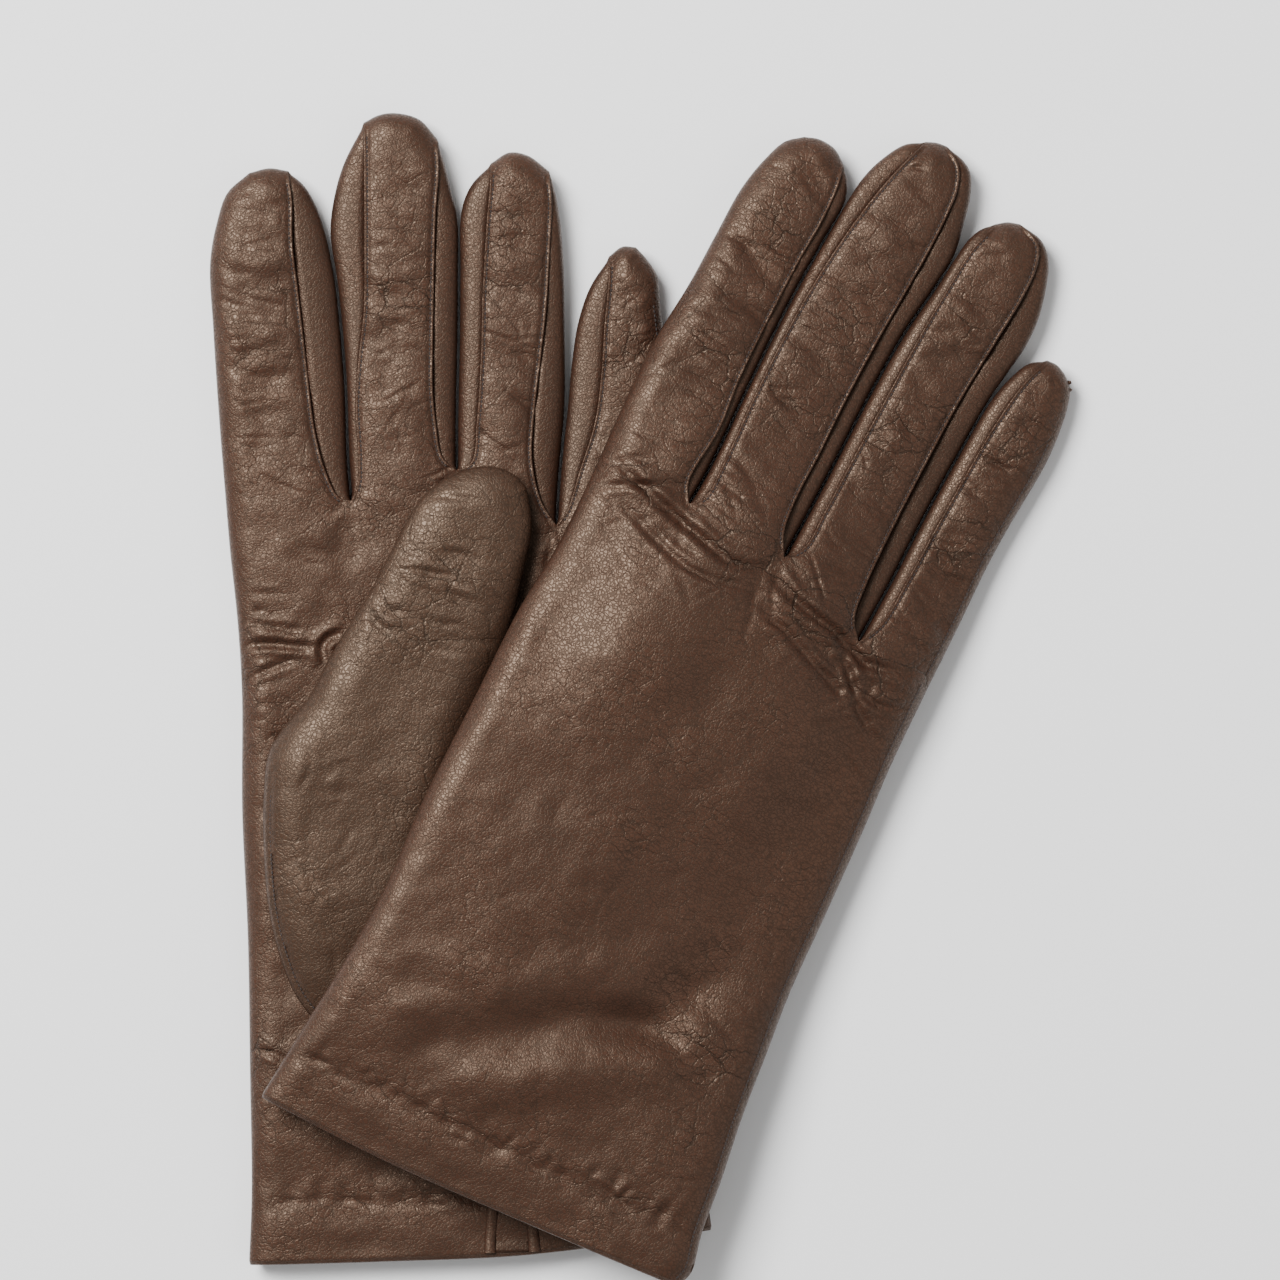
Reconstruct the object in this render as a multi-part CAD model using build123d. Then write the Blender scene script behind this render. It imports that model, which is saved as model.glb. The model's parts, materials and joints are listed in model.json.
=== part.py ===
from build123d import *
import os
from math import asin, degrees

# A pair of lined leather dress gloves, laid flat, one across the other. The left glove lies palm up
# with its thumb folded over the palm. The right glove lies palm down across it, turned clockwise,
# with its thumb folded under its palm. Millimetres, +Z up. Each glove is drawn in its own frame
# first: x runs from the index finger's side to the little finger's side, y from the cuff to the
# fingertips, and z up from the surface they lie on.
#
# A leather blank, the trank, wraps the hand and is closed by an outseam on the little finger's side.
# Beyond each finger's bend line it is a node of its own, the stall. Side walls, the fourchettes,
# close the fingers, and a knitted lining fills the inside.

# ---- materials and fits ----
LEATHER = 0.7          # nappa leather
LAYER_GAP = 0.12       # between the leather and the lining
LINING = 0.8           # knitted lining
SEAM_GAP = 0.45        # slot that a seam's thread lies in
THREAD = 0.34          # diameter of a seam's thread
BEND_GAP = 0.5         # between the two bodies at a bend line
FIT = 0.1              # round the panel behind the cuff vent
LINING_INSET = LEATHER + LAYER_GAP
HOLLOW_INSET = LINING_INSET + LINING

# ---- hand and fingers ----
THICK = 9.4            # an empty glove's thickness, hand and fingers
DRAPE_THICK = 9.4      # the thickness at which the right glove's heights, below, were taken
LIFT = THICK / DRAPE_THICK
FINGER_EDGE = 4.0      # rounding of a finger's long edges
WALL_WIDTH = 4.6       # how far a fourchette reaches in from the finger's side
CROTCH_DEPTH = 8.0     # from the lower of two bend lines down to the crotch between them

# Each finger: the centre of its bend line, its lean towards the little finger's side in degrees, its
# length beyond the bend line, its width there and near the tip, the tip's corner radius, the height
# of its underside at the bend line, and the sides that have a fourchette.
FINGERS = {
    "left": {
        "index": dict(at=(-37.2, 168.0), lean=-2.4, length=64.2, root=26.0, tip=24.5, corner=10.5,
                      height=0.0, walls=("little",)),
        "middle": dict(at=(-12.0, 174.0), lean=0.5, length=69.3, root=22.8, tip=24.0, corner=11.0,
                       height=0.0, walls=("index", "little")),
        "ring": dict(at=(11.0, 173.0), lean=2.4, length=61.4, root=21.6, tip=20.4, corner=9.5,
                     height=0.0, walls=("index", "little")),
        "little": dict(at=(33.9, 163.5), lean=4.4, length=50.4, root=21.2, tip=16.5, corner=7.8,
                       height=0.0, walls=("index",)),
    },
    "right": {
        "index": dict(at=(-30.2, 160.5), lean=2.8, length=74.3, root=21.6, tip=20.6, corner=9.6,
                      height=11.4, walls=("little",)),
        "middle": dict(at=(-7.2, 160.5), lean=3.1, length=84.4, root=23.2, tip=25.2, corner=11.0,
                       height=7.4, walls=("index", "little")),
        "ring": dict(at=(16.1, 158.5), lean=4.3, length=77.8, root=22.0, tip=21.8, corner=9.6,
                     height=4.4, walls=("index", "little")),
        "little": dict(at=(35.6, 149.0), lean=3.6, length=63.6, root=16.0, tip=15.6, corner=7.4,
                       height=1.8, walls=("index",)),
    },
}
LITTLE_BEND = 33.0     # along the left little finger, where it comes out from under the right glove

# The hand's stations: y, x of both edges, and the height of the underside at four places across it,
# which is how the right glove drapes over the left one.
STATIONS = {
    "left": [
        (0.0, -49.5, 49.0, (0.0, 0.0, 0.0, 0.0)),
        (40.0, -48.6, 48.0, (0.0, 0.0, 0.0, 0.0)),
        (80.0, -48.2, 47.6, (0.0, 0.0, 0.0, 0.0)),
        (120.0, -48.2, 46.8, (0.0, 0.0, 0.0, 0.0)),
        (178.0, -50.6, 45.4, (0.0, 0.0, 0.0, 0.0)),
    ],
    "right": [
        (0.0, -49.0, 48.8, (11.0, 11.4, 11.4, 10.4)),
        (40.0, -44.8, 45.6, (16.0, 15.2, 12.0, 9.2)),
        (80.0, -43.8, 44.2, (16.6, 15.8, 11.0, 4.6)),
        (120.0, -42.4, 43.6, (13.2, 16.0, 11.8, 3.6)),
        (166.0, -41.2, 43.8, (11.2, 7.4, 4.2, 1.6)),
    ],
}

# ---- cuff vent, on the palm side ----
VENT_AT = 7.0
VENT_WIDTH = 9.0
VENT_LENGTH = 28.0
BINDING_WIDTH = 2.0
BINDING_PROUD = 0.6    # how far a binding stands above the leather

# ---- thumbs ----
# Stations from the foot of the thumb to its tip: centre x, centre y, width and thickness. The right
# thumb also has the height of the palm above it.
THUMB_TURN = -24.0     # the thumb points this way from the glove's y axis
LEFT_THUMB = [
    (-33.0, 50.0, 10.0, 3.0),
    (-30.5, 66.0, 24.0, 4.6),
    (-24.5, 90.0, 33.0, 5.8),
    (-13.0, 118.0, 31.0, 6.6),
    (-0.6, 145.0, 27.0, 6.8),
    (6.4, 159.0, 19.0, 5.8),
    (9.0, 164.6, 8.0, 3.8),
]
RIGHT_THUMB = [
    (-27.5, 64.0, 8.0, 3.0, 15.2),
    (-25.5, 74.0, 19.0, 4.4, 15.2),
    (-21.0, 90.0, 25.0, 4.9, 15.2),
    (-13.5, 108.0, 24.0, 4.9, 15.2),
    (-8.0, 121.0, 19.0, 4.7, 15.0),
    (-5.0, 128.0, 9.0, 3.4, 13.8),
]
THUMB_BEND = 4         # the left thumb bends at this station, its outer joint
THUMB_HOLE = {         # centre x, centre y, width and length of the thumb's hole in the palm
    "left": (-27.0, 80.0, 14.0, 36.0),
    "right": (-21.5, 88.0, 11.0, 26.0),
}

# ---- where each glove lies: its cuff's centre, and its turn about +Z ----
PLACE = {"left": (-34.4, -118.0, 1.5), "right": (-35.9, -104.7, -25.0)}
FAR = 400.0            # larger than the object, for cutting blocks


def block(x0, x1, y0, y1, z0=-FAR, z1=FAR):
    """A cutting block between these limits."""
    return Pos((x0 + x1) / 2, (y0 + y1) / 2, (z0 + z1) / 2) * Box(x1 - x0, y1 - y0, z1 - z0)


def prism(plan, z0=-FAR, z1=FAR):
    """A cutting block over a plan face."""
    return Pos(0, 0, z0) * extrude(plan, z1 - z0)


def rod(start, end, diameter=THREAD):
    """A straight stretch of seam thread."""
    line = Line(start, end)
    return sweep(Plane(line @ 0, z_dir=line % 0) * Circle(diameter / 2), line)


# ---- the hand ----
def hand_stations(side):
    """The hand's stations, with their heights as they are at this thickness."""
    return [(y, left, right, tuple(h * LIFT for h in heights)) for y, left, right, heights in STATIONS[side]]


def section(left, right, thick, heights, inset):
    """A flattened tube's section in the XZ plane, its underside at four heights across it."""
    side = thick / 2
    across = [left + side + (right - left - thick) * share for share in (0, 1 / 3, 2 / 3, 1)]
    low = [(x, h + inset) for x, h in zip(across, heights)]
    high = [(x, h + thick - inset) for x, h in zip(across, heights)]
    right_end = ThreePointArc(low[-1], (right - inset, heights[-1] + side), high[-1])
    left_end = ThreePointArc(high[0], (left + inset, heights[0] + side), low[0])
    edges = [Spline(*low), right_end, Spline(*reversed(high)), left_end]
    return Rot(90, 0, 0) * make_face(edges)


def hand_tube(side, inset):
    """The hand from its cuff to beyond the bend lines, drawn in by inset."""
    return loft([Pos(0, y, 0) * section(left, right, THICK, heights, inset)
                 for y, left, right, heights in hand_stations(side)])


def hand_plan(side):
    """Plan of the hand, whose far end follows the bend lines and the crotches between them."""
    points = [(-FAR, -FAR)]
    fingers = list(FINGERS[side].values())
    for number, spec in enumerate(fingers):
        left = -FAR if number == 0 else -spec["root"] / 2
        right = FAR if number == len(fingers) - 1 else spec["root"] / 2
        for x in (left, right):
            end = (Pos(*spec["at"]) * Rot(0, 0, -spec["lean"]) * Pos(x, -BEND_GAP / 2)).position
            points.append((end.X, end.Y))
        if number < len(fingers) - 1:
            points.append(crotch(spec, fingers[number + 1]))
    points.append((FAR, -FAR))
    return make_face(Polyline(*points, close=True))


def crotch(first, second):
    """The foot of the notch between two fingers."""
    x = (first["at"][0] + first["root"] / 2 + second["at"][0] - second["root"] / 2) / 2
    return x, min(first["at"][1], second["at"][1]) - CROTCH_DEPTH


def hand_layer(side, outer, inner):
    """The layer of the hand between two insets, up to the bend lines."""
    return (hand_tube(side, outer) & prism(hand_plan(side))) - hand_tube(side, inner)


def palm_cutter(side, plan, height):
    """A cutter through the palm's leaf alone, where the hand's underside is at this height."""
    if side == "left":
        return prism(plan, height + THICK / 2, FAR)
    return prism(plan, -FAR, height + THICK / 2)


def vent_plan(grow):
    """The cuff vent's triangle, grown on every side."""
    half = VENT_WIDTH / 2 + grow
    return make_face(Polyline((VENT_AT - half, -1), (VENT_AT + half, -1),
                              (VENT_AT, VENT_LENGTH + grow * VENT_LENGTH / half), close=True))


def vent_height(side):
    """Height of the hand's underside at the vent."""
    return hand_stations(side)[0][3][1]


def hole_plan(side, grow=0.0):
    """The thumb's hole in the palm, grown on every side."""
    x, y, width, length = THUMB_HOLE[side]
    return Pos(x, y) * Rot(0, 0, THUMB_TURN) * Ellipse(width / 2 + grow, length / 2 + grow)


def hole_height(side):
    """Height of the hand's underside at the thumb's hole."""
    return 0.0 if side == "left" else RIGHT_THUMB[2][4] * LIFT


def outseam(side, width, height):
    """A bar along the outseam, from the cuff to the little finger's bend line."""
    sections = [Pos(right - LEATHER / 2, y, heights[3] + THICK / 2) * Rot(90, 0, 0) * Rectangle(width, height)
                for y, left, right, heights in hand_stations(side)]
    return loft(sections) & prism(hand_plan(side))


def hand_nodes(side):
    """The pieces of the hand, without the thumb."""
    hole = palm_cutter(side, hole_plan(side), hole_height(side))
    vent = palm_cutter(side, vent_plan(0), vent_height(side))
    trank = hand_layer(side, 0, LEATHER) - hole - vent - outseam(side, 3 * LEATHER, SEAM_GAP)
    lining = hand_layer(side, LINING_INSET, HOLLOW_INSET) - hole
    within = palm_cutter(side, vent_plan(-FIT), vent_height(side)) & block(-FAR, FAR, 0, FAR)
    beside = palm_cutter(side, vent_plan(BINDING_WIDTH) - vent_plan(0), vent_height(side))
    proud = hand_tube(side, -BINDING_PROUD) - hand_tube(side, -FIT / 2)
    ring = palm_cutter(side, hole_plan(side, THREAD + FIT) - hole_plan(side, FIT), hole_height(side))
    seam_layer = hand_tube(side, -THREAD) - hand_tube(side, -FIT / 2)
    return {
        "trank": [trank],
        "hand_lining": [lining],
        "vent_panel": [hand_layer(side, 0, LEATHER) & within],
        "vent_bindings": [proud & beside & block(-FAR, FAR, 0, FAR)],
        "outseam": [outseam(side, THREAD, THREAD)],
        "thumb_seam": [seam_layer & ring],
    }


# ---- the thumbs ----
def thumb_stations(side):
    """The thumb's stations, each with the height of its underside."""
    if side == "left":
        return [(x, y, width, thick, THICK + SEAM_GAP) for x, y, width, thick in LEFT_THUMB]
    return [(x, y, width, thick, palm * LIFT - SEAM_GAP - thick) for x, y, width, thick, palm in RIGHT_THUMB]


def thumb_tube(side, inset):
    """The closed thumb, drawn in by inset all round."""
    stations = thumb_stations(side)
    sections = []
    for number, (x, y, width, thick, low) in enumerate(stations):
        end = {0: inset, len(stations) - 1: -inset}.get(number, 0)
        place = Pos(x, y, 0) * Rot(0, 0, THUMB_TURN) * Pos(0, end, 0)
        drawn_in = min(inset, thick / 2 - FIT)
        sections.append(place * section(-width / 2, width / 2, thick, (low,) * 4, drawn_in))
    return loft(sections)


def thumb_layer(side, outer, inner):
    """The thumb's layer between two insets, open to the palm over the thumb's hole."""
    x, y, width, thick, low = thumb_stations(side)[2]
    middle = low + thick / 2
    toward_palm = (-FAR, middle) if side == "left" else (middle, FAR)
    return thumb_tube(side, outer) - thumb_tube(side, inner) - prism(hole_plan(side), *toward_palm)


def thumb_nodes(side):
    """The pieces of the thumb. The left one is parted at its outer joint."""
    leather = thumb_layer(side, 0, LEATHER)
    lining = thumb_layer(side, LINING_INSET, HOLLOW_INSET)
    if side == "right":
        return {"thumb": [leather], "thumb_lining": [lining]}
    x, y, width, thick = LEFT_THUMB[THUMB_BEND]
    joint = Pos(x, y, 0) * Rot(0, 0, THUMB_TURN)
    below = joint * block(-FAR, FAR, -FAR, -BEND_GAP / 2)
    beyond = joint * block(-FAR, FAR, BEND_GAP / 2, FAR)
    return {
        "thumb": [leather & below],
        "thumb_lining": [lining & below],
        "thumb_tip": [leather & beyond],
        "thumb_tip_lining": [lining & beyond],
    }


# ---- the fingers, each in its own frame with its bend line on the x axis ----
def finger_block(spec, inset):
    """A finger's outer shape drawn in by inset, flat at its bend line."""
    start, half = BEND_GAP / 2, spec["root"] / 2 - inset
    radius = spec["corner"] - inset
    reach = spec["tip"] / 2 - inset - radius
    corners = [Pos(x, spec["length"] - inset - radius) * Circle(radius) for x in (-reach, reach)]
    foot = Line((-half, start), (half, start))
    outline = make_hull(corners[0].edges() + corners[1].edges() + ShapeList([foot]))
    solid = Pos(0, 0, inset) * extrude(outline, THICK - 2 * inset)
    rims = solid.edges().filter_by(lambda e: abs(e.center().Z - THICK / 2) > THICK / 4
                                   and e.center().Y > start + FIT)
    return fillet(rims, FINGER_EDGE - inset)


def finger_layer(spec, outer, inner):
    """The finger's layer between two insets."""
    return finger_block(spec, outer) - finger_block(spec, inner)


def beyond_seam(spec, wall, gap):
    """Everything on the outer side of a fourchette's seams, past a gap."""
    reach = spec["root"] / 2 - WALL_WIDTH + gap
    return block(reach, FAR, -FAR, FAR) if wall == "little" else block(-FAR, -reach, -FAR, FAR)


def finger_seams(spec):
    """Threads between the leaves and the fourchettes, and down the outer side of the little finger."""
    run = spec["length"] - spec["corner"]
    threads = []
    for wall in spec["walls"]:
        x = spec["root"] / 2 - WALL_WIDTH + SEAM_GAP / 2
        x = x if wall == "little" else -x
        threads += [rod((x, BEND_GAP, z), (x, run, z)) for z in (LEATHER / 2, THICK - LEATHER / 2)]
    if spec["walls"] == ("index",):
        near, far = spec["root"] / 2 - LEATHER / 2, spec["tip"] / 2 - LEATHER / 2
        threads.append(rod((near, BEND_GAP, THICK / 2), (far, run, THICK / 2)))
    return threads


def finger_nodes(side, name):
    """The pieces of one finger, in its glove's frame."""
    spec = FINGERS[side][name]
    leather = finger_layer(spec, 0, LEATHER)
    stall = leather
    for wall in spec["walls"]:
        stall -= beyond_seam(spec, wall, 0)
    if name == "little":
        stall -= block(0, FAR, -FAR, spec["length"] - spec["corner"],
                       (THICK - SEAM_GAP) / 2, (THICK + SEAM_GAP) / 2)
    pieces = {"stall": [stall], "lining": [finger_layer(spec, LINING_INSET, HOLLOW_INSET)],
              "seams": finger_seams(spec)}
    for wall in spec["walls"]:
        label = "fourchette" if len(spec["walls"]) == 1 else f"{wall}_fourchette"
        pieces[label] = [leather & beyond_seam(spec, wall, SEAM_GAP)]
    if (side, name) == ("left", "little"):
        pieces = part_little(pieces)
    place = finger_place(spec)
    return {f"{name}_{key}": [place * solid for solid in solids] for key, solids in pieces.items()}


def part_little(pieces):
    """The left little finger bends only where it comes out from under the right glove."""
    parted = {}
    for key, solids in pieces.items():
        for prefix, y0, y1 in (("", -FAR, LITTLE_BEND - BEND_GAP / 2),
                               ("tip_", LITTLE_BEND + BEND_GAP / 2, FAR)):
            parted[prefix + key] = [solid & block(-FAR, FAR, y0, y1) for solid in solids]
    return parted


def finger_place(spec):
    """A finger's frame in its glove: pitched down until its tip is on the surface."""
    pitch = degrees(asin(spec["height"] * LIFT / spec["length"]))
    return Pos(*spec["at"], spec["height"] * LIFT) * Rot(0, 0, -spec["lean"]) * Rot(-pitch, 0, 0)


# ---- the pair ----
def glove_nodes(side):
    """Every piece of one glove, where that glove lies."""
    nodes = hand_nodes(side) | thumb_nodes(side)
    for name in FINGERS[side]:
        nodes |= finger_nodes(side, name)
    x, y, turn = PLACE[side]
    lie = Pos(x, y, 0) * Rot(0, 0, turn)
    return {f"{side}_{key}": [lie * solid for solid in solids] for key, solids in nodes.items()}


def origin_shift(nodes):
    """The move that puts the origin under the middle of the whole object."""
    boxes = [solid.bounding_box() for solids in nodes.values() for solid in solids]
    x = (min(b.min.X for b in boxes) + max(b.max.X for b in boxes)) / 2
    y = (min(b.min.Y for b in boxes) + max(b.max.Y for b in boxes)) / 2
    return Pos(-x, -y, -min(b.min.Z for b in boxes))


def main():
    os.makedirs("parts", exist_ok=True)
    nodes = glove_nodes("left") | glove_nodes("right")
    shift = origin_shift(nodes)
    for name, solids in nodes.items():
        pieces = [piece for solid in solids for piece in (shift * solid).solids()]
        shape = pieces[0] if len(pieces) == 1 else Compound(children=pieces)
        shape.label = name
        export_step(shape, f"parts/{name}.step")
    print("nodes", len(nodes), "shift", shift.position)


if __name__ == "__main__":
    main()
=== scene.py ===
"""A pair of lined leather dress gloves, one laid across the other, as an add-on that builds them.

Each glove is drawn in its own plane in millimetres: x from the index finger's side to the little
finger's side, y from the cuff to the fingertips. It is then laid where the frame's cuff mouths say.
"""
import json
import math

import bmesh
import bpy
import numpy as np
from bpy.props import FloatProperty, FloatVectorProperty, PointerProperty
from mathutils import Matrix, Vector
from mathutils.bvhtree import BVHTree

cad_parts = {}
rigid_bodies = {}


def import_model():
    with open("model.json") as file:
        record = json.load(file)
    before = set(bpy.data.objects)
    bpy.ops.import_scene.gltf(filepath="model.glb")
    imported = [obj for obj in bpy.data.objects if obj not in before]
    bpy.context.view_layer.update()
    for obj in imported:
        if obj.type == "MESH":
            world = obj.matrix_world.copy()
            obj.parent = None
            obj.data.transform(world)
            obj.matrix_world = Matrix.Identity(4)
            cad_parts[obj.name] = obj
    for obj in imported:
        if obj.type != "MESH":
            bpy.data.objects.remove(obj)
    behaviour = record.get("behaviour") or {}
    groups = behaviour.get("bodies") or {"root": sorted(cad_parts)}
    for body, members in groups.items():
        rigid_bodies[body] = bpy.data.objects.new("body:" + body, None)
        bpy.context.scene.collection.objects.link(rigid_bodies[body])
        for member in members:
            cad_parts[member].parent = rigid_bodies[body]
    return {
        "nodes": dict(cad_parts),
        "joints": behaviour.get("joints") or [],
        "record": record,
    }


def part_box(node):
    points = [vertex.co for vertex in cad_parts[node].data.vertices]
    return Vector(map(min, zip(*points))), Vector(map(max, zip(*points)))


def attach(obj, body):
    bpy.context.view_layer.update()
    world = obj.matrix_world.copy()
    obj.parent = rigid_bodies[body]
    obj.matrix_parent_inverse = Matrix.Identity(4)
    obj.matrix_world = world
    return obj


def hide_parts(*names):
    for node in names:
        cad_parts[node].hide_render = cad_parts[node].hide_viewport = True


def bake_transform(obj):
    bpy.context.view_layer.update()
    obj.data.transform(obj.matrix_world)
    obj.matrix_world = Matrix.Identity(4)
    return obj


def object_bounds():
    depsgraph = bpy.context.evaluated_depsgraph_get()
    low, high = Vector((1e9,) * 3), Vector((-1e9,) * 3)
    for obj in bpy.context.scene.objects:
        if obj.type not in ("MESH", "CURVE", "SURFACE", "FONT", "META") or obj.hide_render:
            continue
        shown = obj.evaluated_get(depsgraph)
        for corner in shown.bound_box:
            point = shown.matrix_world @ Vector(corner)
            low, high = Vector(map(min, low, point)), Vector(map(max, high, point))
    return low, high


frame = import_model()
CAD_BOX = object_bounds()

bl_info = {
    "name": "Leather Gloves",
    "version": (1, 0, 0),
    "blender": (4, 5, 0),
    "location": "View3D > Sidebar > Gloves",
    "description": "Builds a pair of lined leather dress gloves, one laid across the other",
    "category": "Add Mesh",
}

MM = 0.001
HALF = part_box("left_trank")[1].z / MM / 2      # half an empty glove's thickness
SKIN_HALF = HALF - 0.25                        # half of what the leather shows, inside that
FINGERS = ("index", "middle", "ring", "little")
FACES = {"up": 1.0, "down": -1.0}

# ---- the outlines of both gloves, mm ----
# Each finger has an edge on both sides, the arc of its tip, and a seam on each side that has a
# fourchette. The index finger's outer side is a fold and has none. Edges and seams run from the crotch, or
# from the end of the hand's edge, to the end of the tip's arc, and those two places aren't repeated here.
OUTLINES = {
    "left": {
        "index_edge": [(-49.5, -1.7), (-48.6, 12.9), (-48.3, 38), (-48, 67), (-48.5, 95), (-47.9, 119.8),
                       (-48.4, 135), (-49.6, 150), (-50.1, 158)],
        "little_edge": [(49.8, 3.2), (48.6, 14), (48, 40), (47.6, 80), (47, 115), (46.5, 135), (46, 152)],
        "crotches": [(-23.3, 160.6), (-0.5, 166.6), (20.5, 154.3)],
        "index": {
            "left": [(-51.2, 178), (-52, 198), (-52.3, 212.4), (-50.6, 221.1), (-48.2, 227.3)],
            "tip": [(-43.4, 231.5), (-39.1, 232.4), (-35, 231.7)],
            "right": [(-23.8, 170), (-23.9, 185), (-24.5, 197), (-25.4, 208), (-27.2, 218.6), (-29.2, 224.7),
                      (-31.6, 228.8)],
            "right_seam": [(-25.8, 161.4), (-28.5, 167), (-30.5, 175.4), (-31.5, 184.3), (-32.4, 195),
                           (-33.4, 206), (-34.3, 216), (-34.2, 225.4)],
        },
        "middle": {
            "left": [(-23.8, 170), (-23.9, 185), (-24.5, 197), (-25.4, 208), (-26.6, 218), (-25.8, 225),
                     (-23.4, 232.9)],
            "left_seam": [(-21.9, 164), (-21.6, 171), (-21.9, 180.6), (-21, 190.9), (-19.6, 201.2),
                          (-19.1, 214.9), (-18.8, 227)],
            "tip": [(-18.6, 241.6), (-15.2, 243.2), (-11.5, 243.5), (-6.6, 242), (-2.8, 237.6)],
            "right_seam": [(-3.4, 169.4), (-4.6, 176.7), (-5.1, 184), (-4.8, 194), (-4.2, 207.7),
                           (-3.5, 221.2), (-2.6, 231)],
            "right": [(-0.2, 178), (0.6, 195), (1.1, 210), (1.2, 221.5), (0.1, 226.5), (-1.3, 233)],
        },
        "ring": {
            "left": [(-0.2, 178), (0.6, 195), (1.1, 210), (1.7, 222.5), (4, 227.9)],
            "left_seam": [(2.6, 168.2), (4, 177), (5.2, 190), (6, 205), (7.2, 219), (8.1, 227)],
            "tip": [(8.5, 232.2), (12.4, 234.4), (16.4, 233.7), (20.9, 230.2)],
            "right_seam": [(17.6, 159.2), (15.8, 168), (16.6, 179), (18.2, 190), (19.7, 201), (20.8, 214),
                           (21.4, 224)],
            "right": [(21.6, 166), (23.2, 180), (23.7, 196.6), (23.8, 210.4), (23.2, 220.5), (22.1, 227)],
        },
        "little": {
            "left": [(21.6, 166), (23.4, 180), (24.4, 188.6), (26.1, 198), (28.9, 205.4)],
            "left_seam": [(22.6, 157), (25.9, 166.2), (29.2, 175.8), (30.9, 186.1), (31.9, 197),
                          (32.9, 205.2)],
            "tip": [(33.3, 211.6), (36.2, 213.6), (39.1, 213.4)],
            "right": [(45.8, 170), (45.3, 185), (44.5, 195.6), (44, 201), (43.5, 207.1), (41.2, 211)],
        },
    },
    "right": {
        "index_edge": [(-48.9, -0.5), (-46.8, 17.5), (-44.9, 33.6), (-43.8, 51.6), (-44.3, 70), (-43.6, 95),
                       (-43, 116), (-41.3, 132), (-41, 149)],
        "little_edge": [(49.2, 0.3), (50.1, 3.5), (48.6, 12), (47.6, 24), (46, 38), (45, 53), (44.1, 66),
                        (44, 85), (43.7, 105), (43.2, 120), (43.4, 138)],
        "crotches": [(-19.6, 151.8), (3.6, 150), (25.6, 140.4)],
        "index": {
            "left": [(-41.3, 165), (-41.1, 180), (-39.5, 194.7), (-38.8, 206.8), (-38.1, 217.6),
                     (-36.3, 225.3), (-33.9, 230.9)],
            "tip": [(-30.5, 233.7), (-27.3, 234.6), (-23.5, 234.1), (-20.3, 231.8)],
            "right": [(-18.9, 160), (-18.7, 180), (-18.3, 200), (-17.3, 215), (-16.5, 225), (-17.9, 229.1)],
            "right_seam": [(-21.6, 156), (-20.4, 168.7), (-21, 181), (-20.8, 193.6), (-20.2, 208),
                           (-19.3, 219), (-19.4, 227)],
        },
        "middle": {
            "left": [(-18.9, 160), (-18.7, 180), (-18.3, 200), (-17.3, 215), (-16.4, 226), (-15.5, 231.7),
                     (-13.7, 236.5), (-10.4, 241.6)],
            "left_seam": [(-17.2, 154.6), (-16.7, 162), (-16.8, 178), (-16.4, 193), (-15.2, 208), (-13, 222),
                          (-10, 234)],
            "tip": [(-6.4, 243.8), (-4.2, 244.6), (-2, 244.8)],
            "right_seam": [(1.3, 155), (0.7, 162.5), (1.2, 173), (1.5, 186), (2.2, 199), (3.2, 211),
                           (4.1, 222), (4.4, 231), (4, 237.3), (2.2, 241.8)],
            "right": [(4.3, 160), (5, 175), (5.6, 190), (6.8, 205), (8.6, 216), (9.6, 224.1), (8.7, 231),
                      (7.4, 237.3), (5.3, 241.9), (2.6, 243.8)],
        },
        "ring": {
            "left": [(4.3, 160), (5, 175), (5.6, 190), (6.8, 205), (8.6, 216), (9.6, 223.8), (10.6, 229.1),
                     (12.4, 232.4)],
            "left_seam": [(6.6, 154), (7.2, 162), (8, 176), (8.9, 190), (9.9, 205.8), (10.9, 216.7),
                          (12.2, 227)],
            "tip": [(14.6, 234.1), (16.8, 235.6), (19.3, 236.3)],
            "right_seam": [(22.8, 144.5), (22, 152), (22.2, 168), (22.8, 182), (23.6, 195.6), (25.3, 211),
                           (26.5, 222), (26.4, 229.6), (24.6, 234)],
            "right": [(26.6, 155), (27.2, 170), (28.2, 185), (29.4, 199), (30.6, 206), (31.8, 213),
                      (31.8, 219.6), (30.3, 227), (28.3, 232.2), (25, 235.4)],
        },
        "little": {
            "left": [(26.6, 155), (27.2, 170), (28.2, 185), (29.5, 199.6), (31.3, 206), (33.6, 210.3)],
            "left_seam": [(28.3, 146), (29.6, 158), (30.4, 170), (31.3, 182), (32.5, 195), (34.4, 205.5)],
            "tip": [(37, 212.3), (39.3, 212.3), (41.5, 211.3)],
            "right": [(43.8, 152.8), (44, 166.6), (44.6, 176.2), (45.4, 184), (46.1, 192.1), (45.9, 199.6),
                      (45.2, 205), (43.9, 209)],
        },
    },
}
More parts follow.
